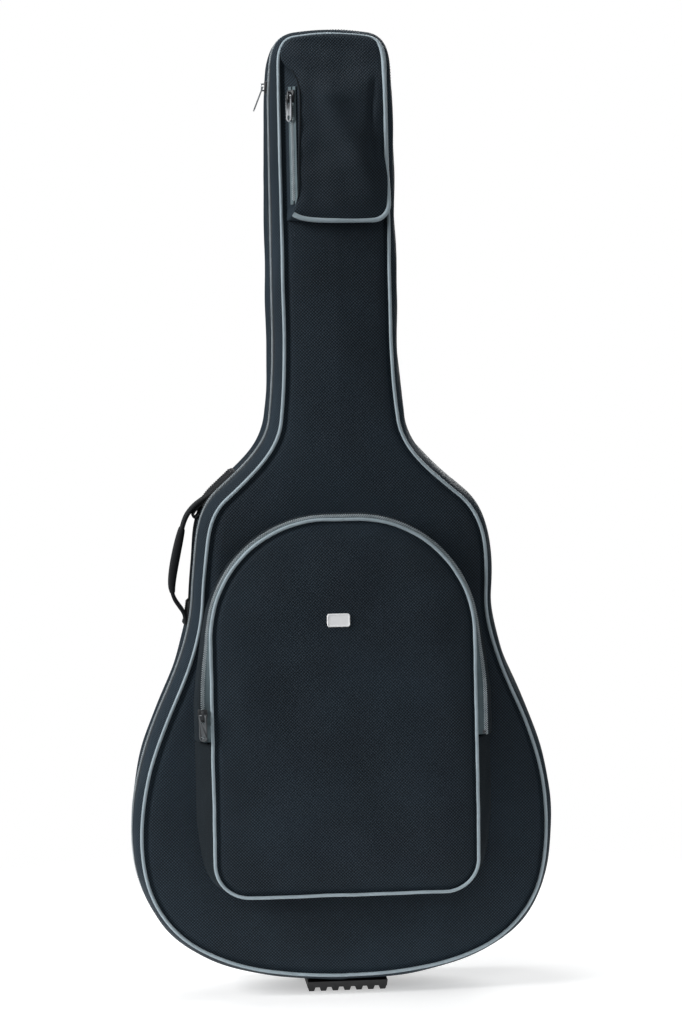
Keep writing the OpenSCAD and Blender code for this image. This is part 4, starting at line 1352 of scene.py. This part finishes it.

# ---- Carry handle ----
# Webbing that is stitched to the rear half's left wall at both ends. The middle carries a folded
# and stitched grip that goes with the handle; the two ends stay fixed where they meet it.
webbing = Finish("webbing", Sheen_Weight=0.05, Sheen_Roughness=0.5, Specular_IOR_Level=0.15)
web_u, web_v = webbing.cloth_axes()
web_weave = web_v.wave(0.0017) * web_u.wave(0.0020) * 0.5 + 0.5
web_tone = webbing.noise(60, 3)
webbing.colour(web_weave * 0.45 + web_tone * 0.35, (0.002, 0.0026, 0.003), (0.019, 0.0215, 0.025))
webbing.rough(0.55 + web_weave * 0.12)
webbing.relief(web_weave, 0.0003)


def eased(corners, count, rounds=3):
    """A smooth path through corners: each round cuts every corner at a quarter of its two sides."""
    line = np.array(corners, float)
    for _ in range(rounds):
        cut = np.stack([line[:-1] * 0.75 + line[1:] * 0.25, line[:-1] * 0.25 + line[1:] * 0.75], 1)
        line = np.concatenate([line[:1], cut.reshape(-1, line.shape[1]), line[-1:]])
    return along(line, np.linspace(0, length_run(line)[-1], count))


handle_low, handle_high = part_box("handle")
handle_y, handle_w = (handle_low.y + handle_high.y) / 2, handle_high.y - handle_low.y
handle_path = eased([
    (-0.1390, 0.5760), (-0.1530, 0.5670), (-0.1640, 0.5590), (-0.1735, 0.5470), (-0.1790, 0.5280),
    (-0.1850, 0.5030), (-0.1895, 0.4800), (-0.1910, 0.4640), (-0.1885, 0.4530), (-0.1825, 0.4440),
    (-0.1770, 0.4360), (-0.1745, 0.4240),
], 150)
handle_3d = in_space(handle_path, handle_y + 0 * handle_path[:, 0])
grip_from, grip_to, end_overlap = 50, 116, 3
for label, part, bend, nodes in (
    ("upper", slice(0, grip_from + end_overlap), (22, grip_from), ("handle",)),
    ("lower", slice(grip_to - end_overlap, None), (136, grip_to), None),
):
    fix(ribbon(f"handle_{label}_end", handle_3d[part], across_y, handle_w, 0.0046, webbing),
        ("rear_shell", "handle"), nodes, span=[tuple(handle_3d[k]) for k in bend])
grip_thick = 0.0050 + 0.0044 * np.sin(np.linspace(0, math.pi, grip_to - grip_from)) ** 0.4
grip = ribbon("handle_grip", handle_3d[grip_from:grip_to], across_y, handle_w + 0.0012, grip_thick, webbing)
fix(grip, "handle", ("handle",))
tail_path = eased([
    (-0.1500, 0.5650), (-0.1600, 0.5570), (-0.1655, 0.5500), (-0.1630, 0.5455), (-0.1575, 0.5500),
], 30)
tail_3d = in_space(tail_path, np.full(30, handle_y))
fix(ribbon("handle_folded_tail", tail_3d, across_y, handle_w - 0.002, 0.0026, webbing),
    "rear_shell")


def rear_wall_point(z_low, z_high, rows, y_low, y_high, columns, lift):
    """Grid on the left side wall of the rear half, lifted off its cloth, and the cloth's normals."""
    left = np.flatnonzero((seam[:, 0] < 0) & (seam[:, 1] > z_low - 0.03) & (seam[:, 1] < z_high + 0.03))
    left = left[np.argsort(seam[left, 1])]
    z = np.linspace(z_low, z_high, rows)
    x, normal_x, normal_z, run = (
        np.interp(z, seam[left, 1], a[left])[:, None] for a in (seam[:, 0], *seam_out.T, seam_run[:-1])
    )
    y = np.linspace(y_low, y_high, columns)[None]
    edge = rear_at(z)[:, None] - 0.0006
    reach = wall_reach(z[:, None], run, np.clip((y - edge) / (zip_lip - edge), 0, 1), 1) + lift
    grid = np.stack([x + reach * normal_x, y + 0 * reach, z[:, None] + reach * normal_z], -1)
    return grid, np.stack([normal_x + 0 * reach, 0 * reach, normal_z + 0 * reach], -1)


def lidded(name, top, back, uv, finish, rim=0.3):
    """A closed patch from the grid of its outer face, the grid of its back and the rim between."""
    rims = np.stack([rim_of(top), rim_of(back)])
    rim_uv = np.repeat(np.linspace(0, rim, rims.shape[1] + 1)[None, :, None], 2, 0) * np.ones(2)
    patches = [(top, uv, False, False), (rims, rim_uv, False, True), (back, uv, False, False)]
    return sew(name, patches, finish, 60)


def patch_on_wall(name, z_low, z_high, y_low, y_high, thick, finish):
    """A stitched patch that follows the wall: its outer face has a rounded edge, and its back is
    sunk in the cloth."""
    rows, columns = 25, 21
    from_row, from_column = (np.minimum(np.arange(n), np.arange(n)[::-1]) / 2.0 for n in (rows, columns))
    puff = thick * np.clip(np.minimum.outer(from_row, from_column), 0, 1) ** 0.5
    top, back = (
        rear_wall_point(z_low, z_high, rows, y_low, y_high, columns, lift)[0] for lift in (puff, -0.0010)
    )
    uv = np.meshgrid(np.linspace(z_low, z_high, rows), np.linspace(y_low, y_high, columns), indexing="ij")
    return lidded(name, top, back, np.stack(uv, -1), finish, 0.1)


def box_and_cross(a, b, c, d):
    """The lines of a box stitch: round four corners, and both diagonals."""
    return [a, b, c, d, a], [a, c], [b, d]


anchor_y, anchor_steps = (0.0150, 0.0450), 60
for end, z_low, z_high in (("upper", 0.553, 0.592), ("lower", 0.418, 0.450)):
    fix(patch_on_wall(f"handle_anchor_{end}_patch", z_low, z_high, *anchor_y, 0.0022, webbing),
        "rear_shell", (f"handle_anchor_{end}",))
    z_in, z_out, y_in, y_out = z_low + 0.003, z_high - 0.003, anchor_y[0] + 0.003, anchor_y[1] - 0.003
    grid, normals = rear_wall_point(z_low, z_high, anchor_steps, *anchor_y, anchor_steps, 0.0024)
    rows_of_stitches = box_and_cross((z_in, y_in), (z_out, y_in), (z_out, y_out), (z_in, y_out))
    for turn, corners in enumerate(rows_of_stitches):
        share = (lines(*corners) - [z_low, anchor_y[0]]) / [z_high - z_low, anchor_y[1] - anchor_y[0]]
        i, j = np.clip(share * (anchor_steps - 1), 0, anchor_steps - 1).astype(int).T
        fix(stitches(f"handle_anchor_{end}_stitches_{turn}", grid[i, j], normals[i, j], 0.0028, thread),
            "rear_shell")

# ---- Back: yoke and strap anchors ----
# Flat patches of the shell cloth, folded at the edges and double stitched to the rear panel, that
# take the load of the shoulder straps.


def rear_cloth(x, z):
    """Y of the rear panel's cloth."""
    return rear_at(z) + rear_swell(x, z, inset_of(x, z))


def flat_patch(name, corners, thick, finish, counts):
    """A thin four-cornered patch on the rear panel: a Coons grid whose points crowd towards its
    rounded edge, with its back a little inside the cloth."""
    corners = np.array(corners, float)
    u, v = (0.5 - 0.5 * np.cos(math.pi * np.linspace(0, 1, n + 1)) for n in counts)
    sides = [
        corners[a] + share[:, None] * (corners[b] - corners[a])
        for a, b, share in ((0, 1, u), (1, 2, v), (3, 2, u), (0, 3, v))
    ]
    grid = coons(*sides, u, v)
    ground = rear_cloth(grid[..., 0], grid[..., 1])
    puff = thick * np.clip(edge_gap(grid, sides) / 0.0016, 0, 1) ** 0.5
    return lidded(name, in_space(grid, ground + puff), in_space(grid, ground - 0.0008), grid, finish)


def sewn_lines(name, corners_list, lift):
    """Rows of stitches along flat lines on the rear panel."""
    for number, corners in enumerate(corners_list):
        flat = lines(*corners, step=0.002)
        path = in_space(flat, rear_cloth(flat[:, 0], flat[:, 1]) + lift)
        fix(stitches(f"{name}_{number}", path, across_y, 0.0030, thread), "rear_shell")


yoke_low, yoke_high, yoke_bottom, yoke_top = 0.556, 0.606, 0.084, 0.070
yoke_corners = [
    (-yoke_bottom, yoke_low), (yoke_bottom, yoke_low), (yoke_top, yoke_high), (-yoke_top, yoke_high),
]
fix(flat_patch("back_yoke_patch", yoke_corners, 0.0020, shell_cloth, (60, 24)),
    "rear_shell", ("back_yoke",))
for step, label in ((0.004, "outer"), (0.007, "inner")):
    low_x, high_x = yoke_bottom - step * 1.3, yoke_top - step
    low_z, high_z = yoke_low + step, yoke_high - step
    ring = [(-low_x, low_z), (low_x, low_z), (high_x, high_z), (-high_x, high_z), (-low_x, low_z)]
    sewn_lines(f"yoke_stitches_{label}", [ring], 0.0021)
anchor_corners = np.array([(0.104, 0.096), (0.160, 0.104), (0.146, 0.146), (0.116, 0.146)])
for side, label in ((-1, "left"), (1, "right")):
    corners = anchor_corners * [side, 1]
    corners = corners if side > 0 else corners[[1, 0, 3, 2]]
    fix(flat_patch(f"strap_anchor_{label}_patch", corners, 0.0020, shell_cloth, (30, 24)),
        "rear_shell", ("strap_anchors",))
    sewn = corners.mean(0) + (corners - corners.mean(0)) * 0.84
    sewn_lines(f"strap_anchor_{label}_stitches", box_and_cross(*sewn), 0.0021)

# ---- Shoulder straps ----
# Two curved foam pads in shell cloth with bound edges and two quilting lines. A webbing tail goes
# from each pad through a ladder lock and down to its anchor.
strap_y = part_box("strap_pad_left")[0].y
strap_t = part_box("strap_pad_left")[1].y - strap_y
strap_w = 0.058
strap_t01 = np.linspace(0, 1, 110)[:, None]
strap_curve = (
    (1 - strap_t01) ** 3 * [0.050, 0.600] + 3 * (1 - strap_t01) ** 2 * strap_t01 * [0.096, 0.560]
    + 3 * (1 - strap_t01) * strap_t01**2 * [0.134, 0.400] + strap_t01**3 * [0.128, 0.262]
)
strap_line = along(strap_curve, np.linspace(0, length_run(strap_curve)[-1], 110))


def pad_half_width(run):
    """Half the pad's width along its length, rounded off at both ends."""
    end = np.minimum(run, run[-1] - run)
    return strap_w / 2 * np.sqrt(1 - (1 - np.clip(end / 0.022, 0, 1)) ** 2) * 0.9995 + 1e-4


def pad_section(run):
    """Closed section of a pad: rounded edges, a quilted groove on each side and foam crowned
    between them; the face that lies on the bag is flatter."""
    half = pad_half_width(run)[:, None]
    turn = np.linspace(0, 2 * math.pi, 44, endpoint=False)[None]
    across = half * np.sign(np.cos(turn)) * np.abs(np.cos(turn)) ** 0.55
    lift = np.sign(np.sin(turn)) * np.abs(np.sin(turn)) ** 0.62
    groove = np.exp(-(((np.abs(across) - half + 0.0095) / 0.0022) ** 2))
    end = np.minimum(run, run[-1] - run)[:, None]
    deep = strap_t / 2 * (0.55 + 0.45 * smooth(0, 0.02, end))
    wave = 0.0003 * rumple(run[:, None], across, 71, 0.09, 0.03)
    y = strap_y + strap_t / 2 + deep * lift * (1 - 0.26 * groove) + wave * np.abs(lift)
    return across, y


web_y = strap_y + 0.0074
for side, label in ((-1, "left"), (1, "right")):
    body = f"strap_{label}"
    line = strap_line * [side, 1]
    run = length_run(line)
    out, y = pad_section(run)
    way = np.gradient(line, axis=0)
    normal = np.stack([way[:, 1], -way[:, 0]], 1) / np.linalg.norm(way, axis=1)[:, None]
    pad = sew(f"shoulder_pad_{label}", carried(out, y, line, normal, run, False), shell_cloth, 80)
    fix(pad, body, (f"strap_pad_{label}",))
    half = pad_half_width(run)[:, None]
    bound = np.concatenate([line + half * normal, (line - half * normal)[::-1]])
    bound = along(closed(bound), np.linspace(0, length_run(closed(bound))[-1], 260)[:-1])
    bound_3d = in_space(bound, strap_y + strap_t / 2 + 0 * bound[:, 0])
    fix(sew(f"shoulder_pad_{label}_binding", tube(bound_3d, 0.0019, 8, True, across_y), black_cloth, 80),
        body)
    for edge, name in ((-1, "inner"), (1, "outer")):
        path = line[8:-8] + edge * (half[8:-8] - 0.0095) * normal[8:-8]
        path_3d = in_space(path, strap_y + strap_t / 2 + strap_t / 2 * 0.74 * 0.96 + 0 * path[:, 0])
        fix(stitches(f"shoulder_pad_{label}_quilting_{name}", path_3d, across_y, 0.0034, thread),
            body)
    tail = in_space(eased([(side * 0.128, 0.268), (side * 0.128, 0.250), (side * 0.128, 0.2345)], 20),
                    np.full(20, web_y))
    fix(ribbon(f"strap_tail_{label}", tail, (1.0, 0, 0), 0.025, 0.0016, webbing), body,
        (f"strap_webbing_{label}",))
    strap_flat = eased([(side * 0.128, 0.250), (side * 0.1285, 0.225), (side * 0.1305, 0.200),
                        (side * 0.130, 0.150), (side * 0.1295, 0.128)], 90)
    hang = 0.0012 * np.sin(np.linspace(0, math.pi, 90)) - 0.0072 * smooth(0.155, 0.128, strap_flat[:, 1])
    strap = in_space(strap_flat, web_y - 0.0001 + hang)
    band = ribbon(f"strap_webbing_{label}_band", strap, (1.0, 0, 0), 0.025, 0.0016, webbing)
    fix(band, ("rear_shell", body), (f"strap_webbing_{label}",),
        span=((side * 0.130, web_y, 0.145), (side * 0.130, web_y, 0.205)))

buckle_plastic = Finish("buckle_plastic", Specular_IOR_Level=0.5)
buckle_grain = buckle_plastic.noise(900, 4)
buckle_tone = buckle_grain * 0.4 + buckle_plastic.noise(70) * 0.3
buckle_plastic.colour(buckle_tone, (0.006, 0.006, 0.007), (0.030, 0.031, 0.033))
buckle_plastic.rough(0.30 + buckle_grain * 0.2)
buckle_plastic.relief(buckle_grain, 0.00006)
for label in ("left", "right"):
    fix(softened(f"ladder_lock_{label}", f"ladder_lock_{label}_moulding", 0.0009, buckle_plastic, 3),
        f"strap_{label}", (f"ladder_lock_{label}",))

# ---- Hanging loop ----
# A folded length of webbing behind the head, held by a stitched patch.
loop_turn = np.linspace(0, math.pi, 16)
loop_r, loop_length = 0.0051, 0.054
loop_flat = np.concatenate([
    np.stack([loop_r * np.cos(loop_turn), loop_r * np.sin(loop_turn)], 1),
    np.stack([-loop_r + 0 * loop_turn[1:-1], -np.linspace(0, loop_length, 16)[1:-1]], 1),
    np.stack([-loop_r * np.cos(loop_turn), -loop_length - loop_r * np.sin(loop_turn)], 1),
    np.stack([loop_r + 0 * loop_turn[1:-1], -np.linspace(loop_length, 0, 16)[1:-1]], 1),
])
loop_lean = math.atan(rear_lean / (seam_high - lean_start))
loop_axis = (rear_at(1.057) + 0.0064, 1.057)
loop_path = np.stack([
    0 * loop_flat[:, 0],
    loop_axis[0] + loop_flat[:, 0] * math.cos(loop_lean) - loop_flat[:, 1] * math.sin(loop_lean),
    loop_axis[1] + loop_flat[:, 0] * math.sin(loop_lean) + loop_flat[:, 1] * math.cos(loop_lean),
], 1)
fix(ribbon("hanging_loop", loop_path, (1.0, 0, 0), 0.024, 0.0017, webbing, wrap=True),
    "hang_loop", ("hang_loop",))
patch_low, patch_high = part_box("loop_patch")


def patch_corners(inset):
    """The loop patch's corners, moved in by an inset."""
    x_low, x_high, z_low, z_high = patch_low.x, patch_high.x, patch_low.z, patch_high.z
    return [(x_low + inset, z_low + inset), (x_high - inset, z_low + inset),
            (x_high - inset, z_high - inset), (x_low + inset, z_high - inset)]


fix(flat_patch("hanging_loop_patch", patch_corners(0), 0.0018, webbing, (24, 20)),
    "rear_shell", ("loop_patch",))
sewn_lines("hanging_loop_stitches", box_and_cross(*patch_corners(0.003)), 0.0019)

# ---- Inside the rear half ----
# A foam cradle that holds the neck, a hook-and-loop strap over it, and pads at the end pin and head.


def upholstered(node, name, finish, voxel, rounds):
    """A foam part in cloth: a copy of its solid, remeshed in voxels and smoothed, so its edges are
    as round as stitched cloth over foam."""
    made = placed(name, merged_copy(node, name), finish)
    remesh = made.modifiers.new("cloth", "REMESH")
    remesh.mode, remesh.voxel_size, remesh.use_smooth_shade = "VOXEL", voxel, True
    ease = made.modifiers.new("ease", "SMOOTH")
    ease.factor, ease.iterations = 0.5, rounds
    settled = bpy.data.meshes.new_from_object(made.evaluated_get(bpy.context.evaluated_depsgraph_get()))
    made.modifiers.clear()
    made.data = settled
    settled.name = name
    settled.materials.clear()
    settled.materials.append(finish.material)
    return made


for node in ("neck_cradle", "endpin_pad", "head_pad"):
    fix(upholstered(node, f"{node}_soft", lining_cloth, 0.0022, 6),
        "rear_shell", (node,))
fix(softened("neck_strap", "neck_strap_band", 0.0008, webbing, 2), "rear_shell", ("neck_strap",))
